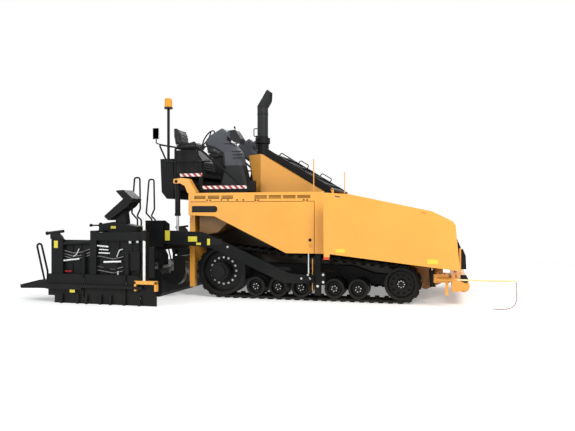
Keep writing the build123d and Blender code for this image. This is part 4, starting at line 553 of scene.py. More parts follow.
# %% A node tree with named inputs
def new_tree(name, **inputs):
    """A Geometry Nodes tree, what it is given, and its result. Each input is (type, default)."""
    tree = bpy.data.node_groups.new(name, "GeometryNodeTree")
    tree.interface.new_socket("Geometry", in_out="INPUT", socket_type="NodeSocketGeometry")
    for label, (kind, value) in inputs.items():
        socket = tree.interface.new_socket(label.replace("_", " "), in_out="INPUT",
                                           socket_type="NodeSocket" + kind)
        if value is not None:
            socket.default_value = value
    tree.interface.new_socket("Geometry", in_out="OUTPUT", socket_type="NodeSocketGeometry")
    given, result = tree.nodes.new("NodeGroupInput"), tree.nodes.new("NodeGroupOutput")
    return tree, given.outputs, result.inputs[0]


def grow(name, mesh, tree, **values):
    """Run a tree on a mesh with these inputs, and give back a plain mesh."""
    host = put(name + "_host", mesh)
    modifier = host.modifiers.new("grow", "NODES")
    modifier.node_group = tree
    for item in tree.interface.items_tree:
        label = item.name.replace(" ", "_")
        if item.in_out == "INPUT" and label in values:
            modifier[item.identifier] = values[label]
    made = evaluated(host)
    bpy.data.objects.remove(host)
    made.name = name
    return made


print("tree helpers ready")

# %% The bolt tree
bolt_tree, given, result = new_tree(
    "bolts", Head_Radius=("Float", 0.012), Head_Height=("Float", 0.010), Sides=("Int", 6),
    Washer_Radius=("Float", 0.018), Finish=("Material", None))
head = add(bolt_tree, "GeometryNodeMeshCylinder", {"fill_type": "NGON"}, Vertices=given["Sides"],
           Radius=given["Head Radius"], Depth=given["Head Height"])
half = add(bolt_tree, "ShaderNodeMath", {"operation": "MULTIPLY"}, _0=given["Head Height"], _1=0.7)
rise = add(bolt_tree, "ShaderNodeCombineXYZ", Z=half.outputs[0])
raised = add(bolt_tree, "GeometryNodeTransform", Geometry=head.outputs["Mesh"],
             Translation=rise.outputs[0])
thin = add(bolt_tree, "ShaderNodeMath", {"operation": "MULTIPLY"}, _0=given["Head Height"], _1=0.5)
washer = add(bolt_tree, "GeometryNodeMeshCylinder", {"fill_type": "NGON"}, Vertices=16,
             Radius=given["Washer Radius"], Depth=thin.outputs[0])
bolt = bolt_tree.nodes.new("GeometryNodeJoinGeometry")
for part in (raised.outputs[0], washer.outputs["Mesh"]):
    bolt_tree.links.new(part, bolt.inputs[0])
facing = add(bolt_tree, "GeometryNodeInputNamedAttribute", {"data_type": "FLOAT_VECTOR"},
             Name="facing")
turn = add(bolt_tree, "FunctionNodeAlignRotationToVector", {"axis": "Z"},
           Vector=facing.outputs["Attribute"])
placed = add(bolt_tree, "GeometryNodeInstanceOnPoints", Points=given["Geometry"],
             Instance=bolt.outputs[0], Rotation=turn.outputs[0])
real = add(bolt_tree, "GeometryNodeRealizeInstances", Geometry=placed.outputs[0])
coated = add(bolt_tree, "GeometryNodeSetMaterial", Geometry=real.outputs[0],
             Material=given["Finish"])
bolt_tree.links.new(coated.outputs[0], result)
print("bolt tree has", len(bolt_tree.nodes), "nodes")


# %% Setting bolts
def add_bolts(name, places, body, material, head=0.012, height=0.010, sides=6, washer=0.018):
    """Bolts at (place, direction) pairs, as one piece on one body."""
    points = bpy.data.meshes.new(name + "_points")
    points.from_pydata([place for place, _ in places], [], [])
    direction = points.attributes.new("facing", "FLOAT_VECTOR", "POINT")
    for item, (_, way) in zip(direction.data, places):
        item.vector = way
    made = grow(name, points, bolt_tree, Head_Radius=head, Head_Height=height, Sides=sides,
                Washer_Radius=washer, Finish=material)
    print(len(places), name.replace("_", " "))
    return own_mesh(name, made, body, material)


def ring(centre, radius, count, start=0.0):
    """(X, Z) spots round a circle."""
    turns = [start + 2 * math.pi * k / count for k in range(count)]
    return [(centre[0] + radius * math.cos(a), centre[1] + radius * math.sin(a)) for a in turns]


def outwards(spots, depth):
    """Places at (X, Z) spots on both sides, at |Y| = depth, each looking straight out."""
    return [((x, y * depth, z), (0, y, 0)) for y in SIDES.values() for x, z in spots]


# %% Bolts on the wheels
DRIVE_WHEEL, IDLER = (-0.787, 0.448), (2.155, 0.305)
ROAD_WHEELS = [(x, 0.205) for x in (-0.207, 0.179, 0.560, 1.105, 1.488)]
DRIVE_FACE, ROAD_FACE = 1.196, 1.242        # |Y| of the wheels' outer faces

hub_spots = ring(IDLER, 0.050, 8)
for wheel in ROAD_WHEELS:
    hub_spots += ring(wheel, 0.042, 6, 0.3)
add_bolts("drive_wheel_bolts", outwards(ring(DRIVE_WHEEL, 0.222, 16), DRIVE_FACE), "tractor", zinc,
          head=0.015, height=0.014, washer=0.019)
add_bolts("wheel_bolts", outwards(hub_spots, ROAD_FACE), "tractor", zinc,
          head=0.007, height=0.008, washer=0.009)

# %% Bolts on panels, arms and columns
PANEL_FACE, ARM_FACE, COLUMN_FACE = 1.400, 1.470, 1.355     # |Y| of their outer faces

panel_spots = [(-1.006, 1.628), (-0.950, 1.626), (-0.165, 1.624), (-0.116, 1.624),
               (0.641, 1.622), (0.695, 1.620), (-0.750, 1.630), (-0.640, 1.630),
               (-0.480, 1.629), (-0.370, 1.628)]
arm_spots = [(0.617, 0.378), (0.722, 0.437), (-0.620, 0.860)]
column_spots = [(0.945, 0.432), (0.945, 0.315), (0.855, 1.150), (0.855, 0.250)]
add_bolts("panel_bolts", outwards(panel_spots, PANEL_FACE), "tractor", hard_black,
          head=0.009, washer=0.013)
add_bolts("tow_arm_bolts", outwards(arm_spots, ARM_FACE), "screed", zinc,
          head=0.011, washer=0.017)
add_bolts("column_bolts", outwards(column_spots, COLUMN_FACE), "tractor", white_enamel,
          head=0.014, washer=0.020)

# %% Plates that carry the column bolts
build("column_plates", "tractor", powder_coat, "black_paint",
      [(box, [(0.896, 1.300, 0.270), (0.978, 1.3552, 0.480)], 0.004)])
build("column_strips", "tractor", enamel, "yellow_paint",
      [(box, [(0.752, 1.286, 0.160), (0.770, 1.300, 0.680)], 0.002)])
print("column plates made")

# %% [markdown]
# ## The chain
#
# A plastic barrier chain is the same closed ring over and over, each turned a quarter from the last
# so that it hangs inside its neighbours. The tree bends a rounded rectangle into a ring, sets it at
# even distances along the line, and turns every second one. Every third link is white, so a mark on
# each link picks its plastic.

# %% The chain tree
chain_tree, given, result = new_tree(
    "chain_links", Spacing=("Float", 0.0184), Ring_Length=("Float", 0.0222),
    Ring_Width=("Float", 0.0122), Wire_Radius=("Float", 0.0019), Margin=("Float", 0.012),
    Links_a_Colour=("Int", 3), First=("Material", None), Second=("Material", None))
along = add(chain_tree, "GeometryNodeMeshToCurve", Mesh=given["Geometry"])
whole_length = add(chain_tree, "GeometryNodeCurveLength", Curve=along.outputs[0])
last = add(chain_tree, "ShaderNodeMath", {"operation": "SUBTRACT"}, _0=whole_length.outputs[0],
           _1=given["Margin"])
clipped = add(chain_tree, "GeometryNodeTrimCurve", {"mode": "LENGTH"}, Curve=along.outputs[0],
              _4=given["Margin"], _5=last.outputs[0])
stops = add(chain_tree, "GeometryNodeCurveToPoints", {"mode": "LENGTH"}, Curve=clipped.outputs[0],
            Length=given["Spacing"])
outline = add(chain_tree, "GeometryNodeCurvePrimitiveQuadrilateral", Width=given["Ring Width"],
              Height=given["Ring Length"])
corner = add(chain_tree, "ShaderNodeMath", {"operation": "MULTIPLY"}, _0=given["Ring Width"],
             _1=0.49)
rounded = add(chain_tree, "GeometryNodeFilletCurve", {"mode": "POLY"}, Curve=outline.outputs[0],
              Radius=corner.outputs[0], Count=4)
wire = add(chain_tree, "GeometryNodeCurvePrimitiveCircle", Resolution=8,
           Radius=given["Wire Radius"])
ring_mesh = add(chain_tree, "GeometryNodeCurveToMesh", Curve=rounded.outputs[0],
                Profile_Curve=wire.outputs[0])
standing = add(chain_tree, "GeometryNodeTransform", Geometry=ring_mesh.outputs[0],
               Rotation=(math.pi / 2, 0.0, 0.0))
print("one ring drawn with", len(chain_tree.nodes), "nodes")

# %% The rings along the line, turned and coloured
number = add(chain_tree, "GeometryNodeInputIndex").outputs[0]
odd = add(chain_tree, "ShaderNodeMath", {"operation": "MODULO"}, _0=number, _1=2.0)
quarter = add(chain_tree, "ShaderNodeMath", {"operation": "MULTIPLY"}, _0=odd.outputs[0],
              _1=math.pi / 2)
spin = add(chain_tree, "FunctionNodeAxisAngleToRotation", Axis=(0.0, 0.0, 1.0),
           Angle=quarter.outputs[0])
turned = add(chain_tree, "FunctionNodeRotateRotation", {"rotation_space": "LOCAL"},
             Rotation=stops.outputs["Rotation"], Rotate_By=spin.outputs[0])
links = add(chain_tree, "GeometryNodeInstanceOnPoints", Points=stops.outputs["Points"],
            Instance=standing.outputs[0], Rotation=turned.outputs[0])
block = add(chain_tree, "ShaderNodeMath", {"operation": "DIVIDE"}, _0=number,
            _1=given["Links a Colour"])
part_way = add(chain_tree, "ShaderNodeMath", {"operation": "FRACT"}, _0=block.outputs[0])
second = add(chain_tree, "ShaderNodeMath", {"operation": "GREATER_THAN"}, _0=part_way.outputs[0],
             _1=0.5)
marked = add(chain_tree, "GeometryNodeStoreNamedAttribute",
             {"data_type": "FLOAT", "domain": "INSTANCE"}, Geometry=links.outputs[0],
             Name="second_colour", Value=second.outputs[0])
real = add(chain_tree, "GeometryNodeRealizeInstances", Geometry=marked.outputs[0])
first_coat = add(chain_tree, "GeometryNodeSetMaterial", Geometry=real.outputs[0],
                 Material=given["First"])
mark = add(chain_tree, "GeometryNodeInputNamedAttribute", {"data_type": "FLOAT"},
           Name="second_colour")
chosen = add(chain_tree, "ShaderNodeMath", {"operation": "GREATER_THAN"},
             _0=mark.outputs["Attribute"], _1=0.5)
second_coat = add(chain_tree, "GeometryNodeSetMaterial", Geometry=first_coat.outputs[0],
                  Selection=chosen.outputs[0], Material=given["Second"])
chain_tree.links.new(second_coat.outputs[0], result)
print("chain tree has", len(chain_tree.nodes), "nodes")

# %% The chain
MARGIN = 0.012          # from the line's ends to the middles of the end links
SHY = 0.9995            # of the even spacing, so that the last link still has its place

line = bpy.data.meshes.new("chain_stops")
line.from_pydata(chain_path, [(k, k + 1) for k in range(len(chain_path) - 1)], [])
run = chain_length - 2 * MARGIN
link_count = round(run / (LINK_LENGTH - 2 * LINK_WIRE))
chain_mesh = grow("chain_links", line, chain_tree, Ring_Length=LINK_LENGTH - LINK_WIRE,
                  Ring_Width=LINK_WIDTH - LINK_WIRE, Wire_Radius=LINK_WIRE / 2, Margin=MARGIN,
                  Spacing=run / link_count * SHY, First=red_plastic, Second=white_plastic)
chain = own_mesh("chain_links", chain_mesh, "guide_rod")
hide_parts("guide_chain")
print(link_count + 1, "links, faces", len(chain_mesh.polygons))

# %% [markdown]
# ## Warning tape and blank labels
#
# The deck's edges wear a vinyl tape of red and white slanted bars. The bars are a rule of place, so
# the material works them out: X and Z added together, divided by the bar's period, is cut at half.
# The labels on the arms, wings and pods are plain yellow vinyl, and stay blank.

# %% Tape material
TAPE_PERIOD = 0.105     # one red and one white bar

tape_vinyl = bpy.data.materials.new("vinyl_red_white")
tape_vinyl.use_nodes = True
tree = tape_vinyl.node_tree
shader = tree.nodes["Principled BSDF"]
place = add(tree, "ShaderNodeTexCoord").outputs["Object"]
axes = add(tree, "ShaderNodeSeparateXYZ", Vector=place).outputs
leaning = add(tree, "ShaderNodeMath", {"operation": "ADD"}, _0=axes["X"], _1=axes["Z"])
turns = add(tree, "ShaderNodeMath", {"operation": "DIVIDE"}, _0=leaning.outputs[0],
            _1=TAPE_PERIOD)
phase = add(tree, "ShaderNodeMath", {"operation": "FRACT"}, _0=turns.outputs[0])
bar = add(tree, "ShaderNodeMath", {"operation": "GREATER_THAN"}, _0=phase.outputs[0], _1=0.5)
worn = add(tree, "ShaderNodeTexNoise", Vector=place, Scale=60.0)
red = add(tree, "ShaderNodeMix", {"data_type": "RGBA"}, _0=worn.outputs["Fac"],
          _6=linear("a3202a"), _7=linear("b62c33"))
mixed = add(tree, "ShaderNodeMix", {"data_type": "RGBA"}, _0=bar.outputs[0], _6=red.outputs[2],
            _7=linear("efe9e6"))
tree.links.new(mixed.outputs[2], shader.inputs["Base Color"])
shader.inputs["Roughness"].default_value = 0.4
print("tape period", TAPE_PERIOD)

# %% Tape along the deck
build("deck_tape", "tractor", tape_vinyl, "red_white_plastic",
      [(box, [(-1.588, 1.199, 2.040), (-1.178, 1.2012, 2.092)], 0.0004),
       (box, [(-1.170, 1.199, 1.822), (-0.379, 1.2012, 1.876)], 0.0004)])
print("tape laid")

# %% Labels
LABELS = {              # body: (X from, X to, Z from, Z to, |Y| of the surface)
    "screed": [(-1.734, -1.647, 0.955, 1.123, 1.470), (-1.317, -1.156, 0.941, 1.026, 1.470),
               (-1.171, -1.087, 0.885, 0.925, 1.470), (-0.978, -0.927, 0.887, 0.991, 1.470)],
    "wing": [(1.205, 1.345, 0.812, 0.862, 1.700), (2.562, 2.712, 0.668, 0.732, 1.700)],
    "extender": [(-3.190, -3.120, 0.860, 0.975, 2.420), (-2.350, -2.260, 1.165, 1.205, 2.140)],
    "endgate": [(-2.850, -2.760, 0.175, 0.235, 2.4988)],
}
LABEL_SUNK, LABEL_PROUD = 0.001, 0.0009

for owner, spots in LABELS.items():
    make_labels = build if owner == "screed" else build_pair
    make_labels("labels_" + owner, owner, label_vinyl, "yellow_paint",
                [(box, [(x0, depth - LABEL_SUNK, z0), (x1, depth + LABEL_PROUD, z1)], 0.0004)
                 for x0, x1, z0, z1, depth in spots])
print("labels on", len(LABELS), "kinds of body")

# %% Blank black plates
round_end = [(-0.876 + 0.053 * math.cos(a), 1.479 + 0.053 * math.sin(a))
             for a in (math.radians(-90 + 15 * k) for k in range(13))]
build_pair("door_plate", "service_door", plate_black, "black_paint",
           [(plate, upright(1.399, [(-1.276, 1.532), (-1.276, 1.426)] + round_end), 1.4025)])
build("arm_plates", "screed", plate_black, "black_paint",
      [(box, [(-0.909, 1.469, 0.890), (-0.721, 1.472, 0.991)], 0.0008)])
print("plates made")

# %% [markdown]
# ## Marker lamps, mirror and poles
#
# On each wing sits a folded bracket with an orange-red lens. The mirror is a silvered glass in a
# white rim. It stands on the machine's right side only, as do the two thin yellow rods that the
# driver sights by.

# %% Brackets and lenses on the wings
build_pair("marker_bracket", "wing", enamel, "yellow_paint",
           [(box, [(1.022, 1.690, 0.735), (1.112, 1.706, 0.869)], 0.004)])
build_pair("marker_lens", "wing", lens_orange, "red_white_plastic",
           [(box, [(1.018, 1.688, 0.698), (1.108, 1.714, 0.738)], 0.006)])
print("markers made")

# %% Mirror and sight rods
build("mirror_rim", "tractor", white_enamel, "red_white_plastic",
      [(box, [(-2.050, 1.262, 2.686), (-1.934, 1.299, 2.879)], 0.008)], ["right"])
build("mirror_glass", "tractor", mirror_glass, "chrome",
      [(box, [(-2.042, 1.2985, 2.694), (-1.942, 1.3000, 2.871)], 0.0005)], ["right"])
build("sight_rods", "tractor", enamel, "yellow_paint",
      [(rod, [(0.757, 1.190, 1.745), (0.757, 1.190, 2.290)], 0.009, 12),
       (rod, [(1.262, 1.190, 1.730), (1.262, 1.190, 2.070)], 0.007, 12)], ["right"])
print("mirror and rods made")

# %% Pins
build("lift_pins", "tractor", hard_black, "black_paint",
      [(rod, [(-1.575, 1.372, 1.950), (-1.575, 1.386, 1.950)], 0.030, 24, 0.026)])
build("tow_pins", "screed", white_enamel, "worn_steel",
      [(rod, [(0.745, 1.468, 0.375), (0.745, 1.480, 0.375)], 0.024, 24, 0.020)])
print("pins made")

# %% [markdown]
# ## Works of the screed's end frame
#
# Behind the rails of each end frame lie the gas or electric heating gear, the spreading cylinder
# and its valves, in front of a dark guard plate. They are small, bright and irregular, so each is a
# short bar, block or bent pipe, given one by one.

# %% Guard plate and its ribs
RIBS_AT = (-2.90, -2.74, -2.28, -2.08, -1.86, -1.74)

build_pair("guard_plate", "extender", powder_coat, "black_paint", [
    (box, [(-3.200, 2.3624, 0.440), (-1.600, 2.3672, 0.990)], 0.001),
    *((box, [(x, 2.3665, 0.470), (x + 0.022, 2.380, 0.960)], 0.003) for x in RIBS_AT),
    (box, [(-2.420, 2.3665, 0.540), (-2.080, 2.396, 0.625)], 0.012),
    (box, [(-1.960, 2.3665, 0.520), (-1.700, 2.392, 0.820)], 0.010),
    (box, [(-1.560, 2.3625, 0.425), (-1.460, 2.404, 0.893)], 0.005)])
print("guard plates with", len(RIBS_AT), "ribs")

# %% Cylinder rods and fittings
NUTS_AT = ((-2.494, 0.968), (-2.474, 0.886), (-2.470, 0.800), (-1.740, 0.975), (-1.865, 0.965))
NUT_HALF = 0.022

build_pair("cylinder_rods", "extender", zinc, "worn_steel", [
    (rod, [(-2.475, 2.388, 0.905), (-2.235, 2.388, 0.890)], 0.017),
    (rod, [(-2.410, 2.384, 0.792), (-2.215, 2.384, 0.786)], 0.013),
    (rod, [(-2.400, 2.386, 0.845), (-2.240, 2.386, 0.840)], 0.011),
    (rod, [(-2.310, 2.398, 0.650), (-2.010, 2.398, 0.664)], 0.020),
    (rod, [(-3.040, 2.392, 0.660), (-2.741, 2.392, 0.692)], 0.018),
    (tube, [(-2.860, 2.385, 0.730), (-2.800, 2.390, 0.760), (-2.756, 2.385, 0.852)], 0.010),
    (tube, [(-2.095, 2.385, 0.735), (-2.050, 2.390, 0.840), (-1.995, 2.385, 0.852)], 0.012)])
build_pair("fittings", "extender", zinc, "worn_steel", [
    *((box, [(x - NUT_HALF, 2.372, z - NUT_HALF), (x + NUT_HALF, 2.400, z + NUT_HALF)], 0.006)
      for x, z in NUTS_AT),
    (rod, [(-2.490, 2.392, 0.460), (-2.490, 2.392, 0.560)], 0.020, 20, 0.012),
    (rod, [(-2.072, 2.392, 0.460), (-2.072, 2.392, 0.515)], 0.016, 20, 0.012)])
build_pair("heat_tags", "extender", red_plastic, "red_white_plastic",
           [(box, [(-3.010, 2.378, 0.480), (-2.890, 2.396, 0.506)], 0.004)])
print("rods and fittings made")

# %% Pipes
rear_pipes = [(tube, [(-3.030, 2.380, z), (-2.860, 2.380 + 0.004 * k, z - 0.04),
                      (-2.700, 2.382, z - 0.02), (-2.560, 2.380, z + 0.03)], 0.010)
              for k, z in enumerate((0.820, 0.770, 0.730))]
front_pipes = [(tube, [(-2.560, 2.382, z), (-2.400, 2.386, z + 0.02), (-2.150, 2.384, z - 0.02),
                       (-1.980, 2.382, z + 0.02)], 0.011) for z in (0.720, 0.560, 0.500)]
build_pair("pipes", "extender", dull_steel, "worn_steel", rear_pipes + front_pipes)
print(len(rear_pipes + front_pipes), "pipes a side")

# %% [markdown]
# The white sight pole and the yellow yoke at its foot belong to the end gate. They rise with it,
# and the pole slides through a clamp on the extender's frame.

# %% Sight pole, height handle and guide yoke
POLE_X, POLE_Y, SCREW_Y, HANDLE_Y = -1.602, 2.4435, 2.4370, 2.390

build_pair("sight_pole", "endgate", white_enamel, "worn_steel", [
    (rod, [(POLE_X, POLE_Y, 0.372), (POLE_X, POLE_Y, 1.500)], 0.020, 24),
    *((rod, [(x, SCREW_Y, 0.255), (x, SCREW_Y, 0.392)], 0.013, 16) for x in (-2.644, -1.911)),
    (rod, [(-1.668, 2.452, 0.118), (-1.668, 2.466, 0.118)], 0.016, 16)])
build_pair("pole_clamp", "extender", hard_black, "black_paint", [
    (box, [(-1.640, 2.412, 0.990), (-1.560, 2.468, 1.150)], 0.008),
    (rod, [(-3.330, HANDLE_Y, 1.090), (-3.035, HANDLE_Y, 1.125)], 0.024, 20),
    (rod, [(-3.345, HANDLE_Y, 1.088), (-3.325, HANDLE_Y, 1.091)], 0.030, 20),
    (plate, upright(2.376, [(-3.270, 1.000), (-3.030, 1.000), (-3.060, 1.050),
                            (-3.130, 1.115), (-3.270, 1.098)]), 2.404)])
build_pair("guide_yoke", "endgate", enamel, "yellow_paint", [
    (box, [(-1.742, 2.424, 0.332), (-1.376, 2.4995, 0.384)], 0.004),
    *((box, [(x, 2.424, 0.230), (x + 0.032, 2.4995, 0.380)], 0.004) for x in (-1.742, -1.408))])
print("poles and yokes fitted")

# %% Tow mounts and auger bearing caps
build("tow_mounts", "screed", powder_coat, "black_paint",
      [(box, [(-2.110, 1.385, 0.840), (-1.774, 1.466, 1.290)], 0.010)])
build("bearing_caps", "tractor", zinc, "worn_steel",
      [(rod, [(-1.587, 1.405, 0.400), (-1.587, 1.425, 0.400)], 0.028, 24, 0.024)])
print("tow mounts and caps fitted")

# %% [markdown]
# ## Exhaust bands, buttons and levers
#
# Three clamp bands hold the exhaust pipe. Each console has two rows of push buttons and a lever,
# and each of the screed's pods has three rows on its sloping face. A button is a flat bolt with
# many sides, so the bolt tree sets the buttons out too.

# %% Exhaust bands
BAND_HALF = 0.012

bands = [(rod, [(-0.390, 0.250, z - BAND_HALF), (-0.390, 0.250, z + BAND_HALF)], 0.1015, 40)
         for z in (2.800, 3.215, 3.345)]
build("exhaust_bands", "tractor", wheel_steel, "black_paint", bands, ["right"])
print("bands", len(bands))

# %% Console buttons and levers
console_face = (-0.94, 0, 0.34)         # the way that the buttons look
console_spots = [((-0.858 + 0.013 * row, y * (0.62 + 0.032 * column), 2.795 + 0.034 * row),
                  console_face)
                 for y in SIDES.values() for row in range(2) for column in range(7)]
add_bolts("console_buttons", console_spots, "tractor", white_plastic, head=0.009,
          height=0.006, sides=16, washer=0.011)
build("console_levers", "tractor", hard_black, "black_paint",
      [(rod, [(-0.770, 0.640, 2.850), (-0.790, 0.640, 2.925)], 0.009, 12, 0.007),
       (rod, [(-0.790, 0.640, 2.920), (-0.795, 0.640, 2.955)], 0.018, 16, 0.014)])
print("levers made")

# %% Pod buttons
slope = Vector((0.347, 0.0, 0.280)).normalized()        # up along the pod's face
outward = Vector((-slope.z, 0.0, slope.x))
for side, y in SIDES.items():
    corner = Vector((-2.477, y * 2.0, 1.360)) + outward * 0.001
    pod_spots = [(corner + slope * (0.06 + row * 0.05) + Vector((0, (column - 2) * 0.045, 0)),
                  outward) for row in range(3) for column in range(5)]
    add_bolts("pod_buttons_" + side, pod_spots, "extender_" + side, white_plastic,
              head=0.011, height=0.007, sides=16, washer=0.014)

# %% [markdown]
# ## Seats
#
# Each seat is two foam pads in vinyl. A pad starts as a box of the solid's outline, a little too
# small, turned into even square faces by a voxel remesh. Blender's Cloth then blows it up like a
# balloon with no gravity, and each point's move is capped, so the faces crown and the corners pull
# in. Sewn channels are pressed in afterwards, because the remesh would wipe out anything so fine.

# %% Puff a pad up
SEAT_Y, SEAT_HALF = 0.750, 0.240
CLOTH_STEPS = 20
PRESSURE = 4.0


def puff(name, outline, inset, voxel=0.006, cap=0.016):
    """Remesh an outline's block, inflate it as cloth, and cap each point's move."""
    bm = bmesh.new()
    inner = [Vector(point) for point in upright(SEAT_Y - SEAT_HALF + inset, outline)]
    plate(bm, inner, SEAT_Y + SEAT_HALF - inset)
    bmesh.ops.recalc_face_normals(bm, faces=bm.faces)
    mesh = bpy.data.meshes.new(name)
    bm.to_mesh(mesh)
    bm.free()
    pad = put(name + "_puffing", mesh)
    remesh = pad.modifiers.new("even", "REMESH")
    remesh.mode = "VOXEL"
    remesh.voxel_size = voxel
    still = evaluated(pad)
    pad.modifiers.clear()
    pad.data = still
    cloth = pad.modifiers.new("cloth", "CLOTH")
    cloth.settings.use_pressure = True
    cloth.settings.uniform_pressure_force = PRESSURE
    cloth.settings.effector_weights.gravity = 0.0
    for step in range(1, CLOTH_STEPS + 1):
        bpy.context.scene.frame_set(step)
    swollen = evaluated(pad)
    for vertex, start in zip(swollen.vertices, still.vertices):
        move = vertex.co - start.co
        if move.length > cap:
            vertex.co = start.co + move * (cap / move.length)
    bpy.data.objects.remove(pad)
    bpy.context.scene.frame_set(1)
    return swollen


print("pads blow up in", CLOTH_STEPS, "steps")


# %% Press the channels in
def press_channels(mesh, origin, along, normal, places, width=0.011, depth=0.007):
    """Press sewn channels across a pad, at distances along it, on the side normal looks to."""
    for vertex in mesh.vertices:
        if vertex.normal.dot(normal) < 0.3:
            continue
        here = (vertex.co - origin).dot(along)
        for place in places:
            near = abs(here - place) / width
            if near < 1:
                vertex.co -= normal * depth * (1 - near * near) ** 2


print("channels ready")

# %% The pads
PAN = [(-1.770, 2.552), (-1.772, 2.600), (-1.560, 2.618), (-1.415, 2.665), (-1.388, 2.640),
       (-1.405, 2.578), (-1.455, 2.548)]
BACK = [(0.030, -0.045), (0.030, 0.045), (0.200, 0.048), (0.318, 0.022), (0.325, -0.022),
        (0.180, -0.048)]        # up along the lean, and out from it

lean = Vector((-0.19, 0.0, 0.98)).normalized()
across = Vector((lean.z, 0.0, -lean.x))
foot = Vector((-1.735, 0.0, 2.600))
back_corners = [foot + lean * up + across * out for up, out in BACK]
pan_mesh = puff("seat_pan", PAN, 0.022)
back_mesh = puff("seat_back", [(corner.x, corner.z) for corner in back_corners], 0.040)
press_channels(pan_mesh, Vector((-1.770, 0, 0)), Vector((1, 0, 0)), Vector((-0.2, 0, 0.98)),
               (0.10, 0.19, 0.28))
press_channels(back_mesh, foot, lean, across, (0.11, 0.19, 0.27))
print("pads", len(pan_mesh.polygons), len(back_mesh.polygons))

# %% Both seats
for kind, mesh in (("seat_pan", pan_mesh), ("seat_back", back_mesh)):
    for side, y in SIDES.items():
        copy = mesh.copy()
        copy.transform(Matrix.Translation((0, (y - 1) * SEAT_Y, 0)))
        copy.polygons.foreach_set("use_smooth", [True] * len(copy.polygons))
        pad = own_mesh(f"{kind}_{side}", copy, "tractor", vinyl)
        smooth = pad.modifiers.new("smooth", "SUBSURF")
        smooth.levels = smooth.render_levels = 1
        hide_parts("seats")
print("seats padded")

# %% [markdown]
# A welt of vinyl piping runs round the edge of each pan, as a bent tube that is set against the
# pad.

# %% Piping
WELT_IN = 0.020         # from the seat's outer edges

build("seat_piping", "tractor", hard_black, "seat_cover",
      [(tube, [(-1.765, y, 2.606), (-1.560, y, 2.626), (-1.412, y, 2.668), (-1.396, y, 2.600)],
        0.006, 8) for y in (SEAT_Y - SEAT_HALF + WELT_IN, SEAT_Y + SEAT_HALF - WELT_IN)])
print("piping made")

# %% [markdown]
# ## Latches, hopper front and console trim
#
# Each service door has a round pull latch, and the hopper's front carries black rubber-faced
# hardware on the apron and on the push beam. The console's moulded side has raised ribs.

# %% Latches and hopper hardware
build_pair("door_latch", "service_door", hard_black, "black_paint",
           [(rod, [(0.742, 1.399, 0.984), (0.742, 1.4035, 0.984)], 0.026, 24),
            (box, [(0.722, 1.402, 0.978), (0.762, 1.406, 0.990)], 0.001)])
build("apron_stops", "apron", hard_black, "black_paint",
      [(plate, upright(1.130, [(3.052, 0.555), (3.128, 0.555), (3.118, 0.760), (3.080, 0.860),
                               (3.052, 0.860)]), 1.200),
       (box, [(3.010, 1.120, 0.640), (3.070, 1.190, 0.700)], 0.006)])
build("apron_edges", "apron", enamel, "yellow_paint",
      [(box, [(3.026, 1.140, 0.560), (3.052, 1.196, 0.868)], 0.003)])
build("roller_mounts", "push_beam", hard_black, "black_paint",
      [(box, [(3.040, 1.180, 0.400), (3.135, 1.235, 0.470)], 0.016),
       (rod, [(3.115, 1.200, 0.398), (3.115, 1.240, 0.398)], 0.045, 28)])
print("latches and hopper hardware made")

# %% Ribs on the console's side
ribs = [(box, [(-0.745 + 0.01 * k, 0.918, z), (-0.575 + 0.02 * k, 0.925, z + 0.014)], 0.003)
        for k, z in enumerate((2.470, 2.415, 2.360))]
build("console_ribs", "tractor", hard_black, "grey_plastic",
      ribs + [(box, [(-0.900, 0.918, 2.610), (-0.660, 0.923, 2.622)], 0.003)])
print(len(ribs), "console ribs a side")

# %% [markdown]
# ## Floor, light and background
#
# The machine stands on a plain pale floor that fades into a white surround, as on a product sheet.
# The floor is lit and takes the shadow of the machine like any matt surface. It also glows faintly
# to the rays that are seen directly, which lifts it to white where nothing shades it. Past the
# machine's surroundings it turns transparent, so that no horizon shows.

# %% Floor
FLOOR_HALF = 14.0       # half the side of the square
FADE_FROM, FADE_TO = 6.0, 11.0      # distance from the middle where the floor fades away
FLOOR_LIFT = 0.30       # glow that brings the lit floor up to white

floor_bm = bmesh.new()
bmesh.ops.create_grid(floor_bm, x_segments=1, y_segments=1, size=FLOOR_HALF)
floor_mesh = bpy.data.meshes.new("floor")
floor_bm.to_mesh(floor_mesh)
floor_bm.free()
put("floor", floor_mesh)

floor_paint = bpy.data.materials.new("floor_matt_white")
floor_paint.use_nodes = True
tree = floor_paint.node_tree
tree.nodes.clear()


def seen_directly(tree):
    """1 for the rays from the eye, and for those that gloss and glass send on."""
    ray = add(tree, "ShaderNodeLightPath")
    both = add(tree, "ShaderNodeMath", {"operation": "MAXIMUM"},
               _0=ray.outputs["Is Camera Ray"], _1=ray.outputs["Is Glossy Ray"])
    return add(tree, "ShaderNodeMath", {"operation": "MAXIMUM"}, _0=both.outputs[0],
               _1=ray.outputs["Is Transmission Ray"]).outputs[0]


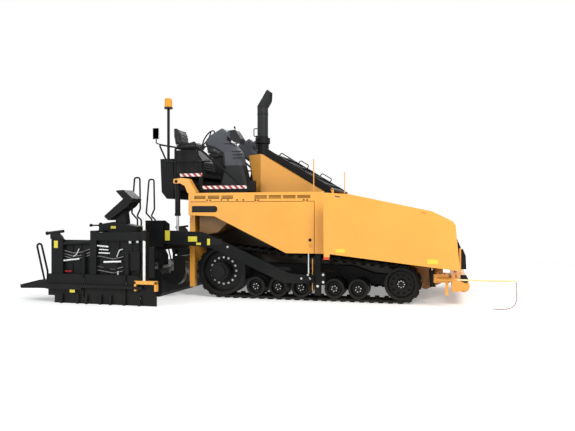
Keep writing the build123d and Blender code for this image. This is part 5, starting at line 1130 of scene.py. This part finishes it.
matt = add(tree, "ShaderNodeBsdfDiffuse", Color=linear("ececea"))
lift = add(tree, "ShaderNodeMath", {"operation": "MULTIPLY"}, _0=seen_directly(tree), _1=FLOOR_LIFT)
glow = add(tree, "ShaderNodeEmission", Color=(1.0, 1.0, 1.0, 1.0), Strength=lift.outputs[0])
lit = add(tree, "ShaderNodeAddShader", _0=matt.outputs[0], _1=glow.outputs[0])
place = add(tree, "ShaderNodeTexCoord").outputs["Object"]
distance = add(tree, "ShaderNodeVectorMath", {"operation": "LENGTH"}, _0=place)
fade = add(tree, "ShaderNodeMapRange", {"interpolation_type": "SMOOTHSTEP"},
           Value=distance.outputs["Value"], From_Min=FADE_FROM, From_Max=FADE_TO)
clear = add(tree, "ShaderNodeBsdfTransparent")
mixed = add(tree, "ShaderNodeMixShader", _0=fade.outputs[0], _1=lit.outputs[0], _2=clear.outputs[0])
add(tree, "ShaderNodeOutputMaterial", Surface=mixed.outputs[0])
floor_mesh.materials.append(floor_paint)
print("floor", 2 * FLOOR_HALF, "m")

# %% [markdown]
# The light is a soft studio's: a broad key from ahead and above on the near side, a weaker fill
# from behind the camera towards the screed, and a rim from the far side. The surround is white to
# the eye and in reflections, and gives a cooler, dimmer fill to everything else.

# %% Light
WHITE = (1.0, 1.0, 1.0, 1.0)
STUDIO_FILL = (0.90, 0.93, 0.97, 1.0)
FILL_STRENGTH = 0.50

world = bpy.data.worlds.new("studio")
bpy.context.scene.world = world
world.use_nodes = True
tree = world.node_tree
tree.nodes.clear()
direct = seen_directly(tree)
colour = add(tree, "ShaderNodeMix", {"data_type": "RGBA"}, _0=direct, _6=STUDIO_FILL, _7=WHITE)
strength = add(tree, "ShaderNodeMapRange", Value=direct, To_Min=FILL_STRENGTH, To_Max=1.0)
surround = add(tree, "ShaderNodeBackground", Color=colour.outputs[2], Strength=strength.outputs[0])
add(tree, "ShaderNodeOutputWorld", Surface=surround.outputs[0])

LAMPS = {               # place, watts, diameter
    "key": ((7.0, -9.0, 9.0), 1290, 6.0),
    "fill": ((-7.0, -10.0, 5.0), 330, 7.0),
    "rim": ((-3.0, 8.0, 8.0), 600, 6.0),
}
AIM = Vector((0.0, 0.0, 1.2))
for name, (place, watts, diameter) in LAMPS.items():
    lamp_data = bpy.data.lights.new(name, "AREA")
    lamp_data.shape = "DISK"
    lamp_data.size = diameter
    lamp_data.energy = watts
    lamp = put(name, lamp_data)
    lamp.location = place
    lamp.rotation_euler = (AIM - Vector(place)).to_track_quat("-Z", "Y").to_euler()
bpy.context.scene.view_settings.view_transform = "Standard"
print("lamps", ", ".join(LAMPS))
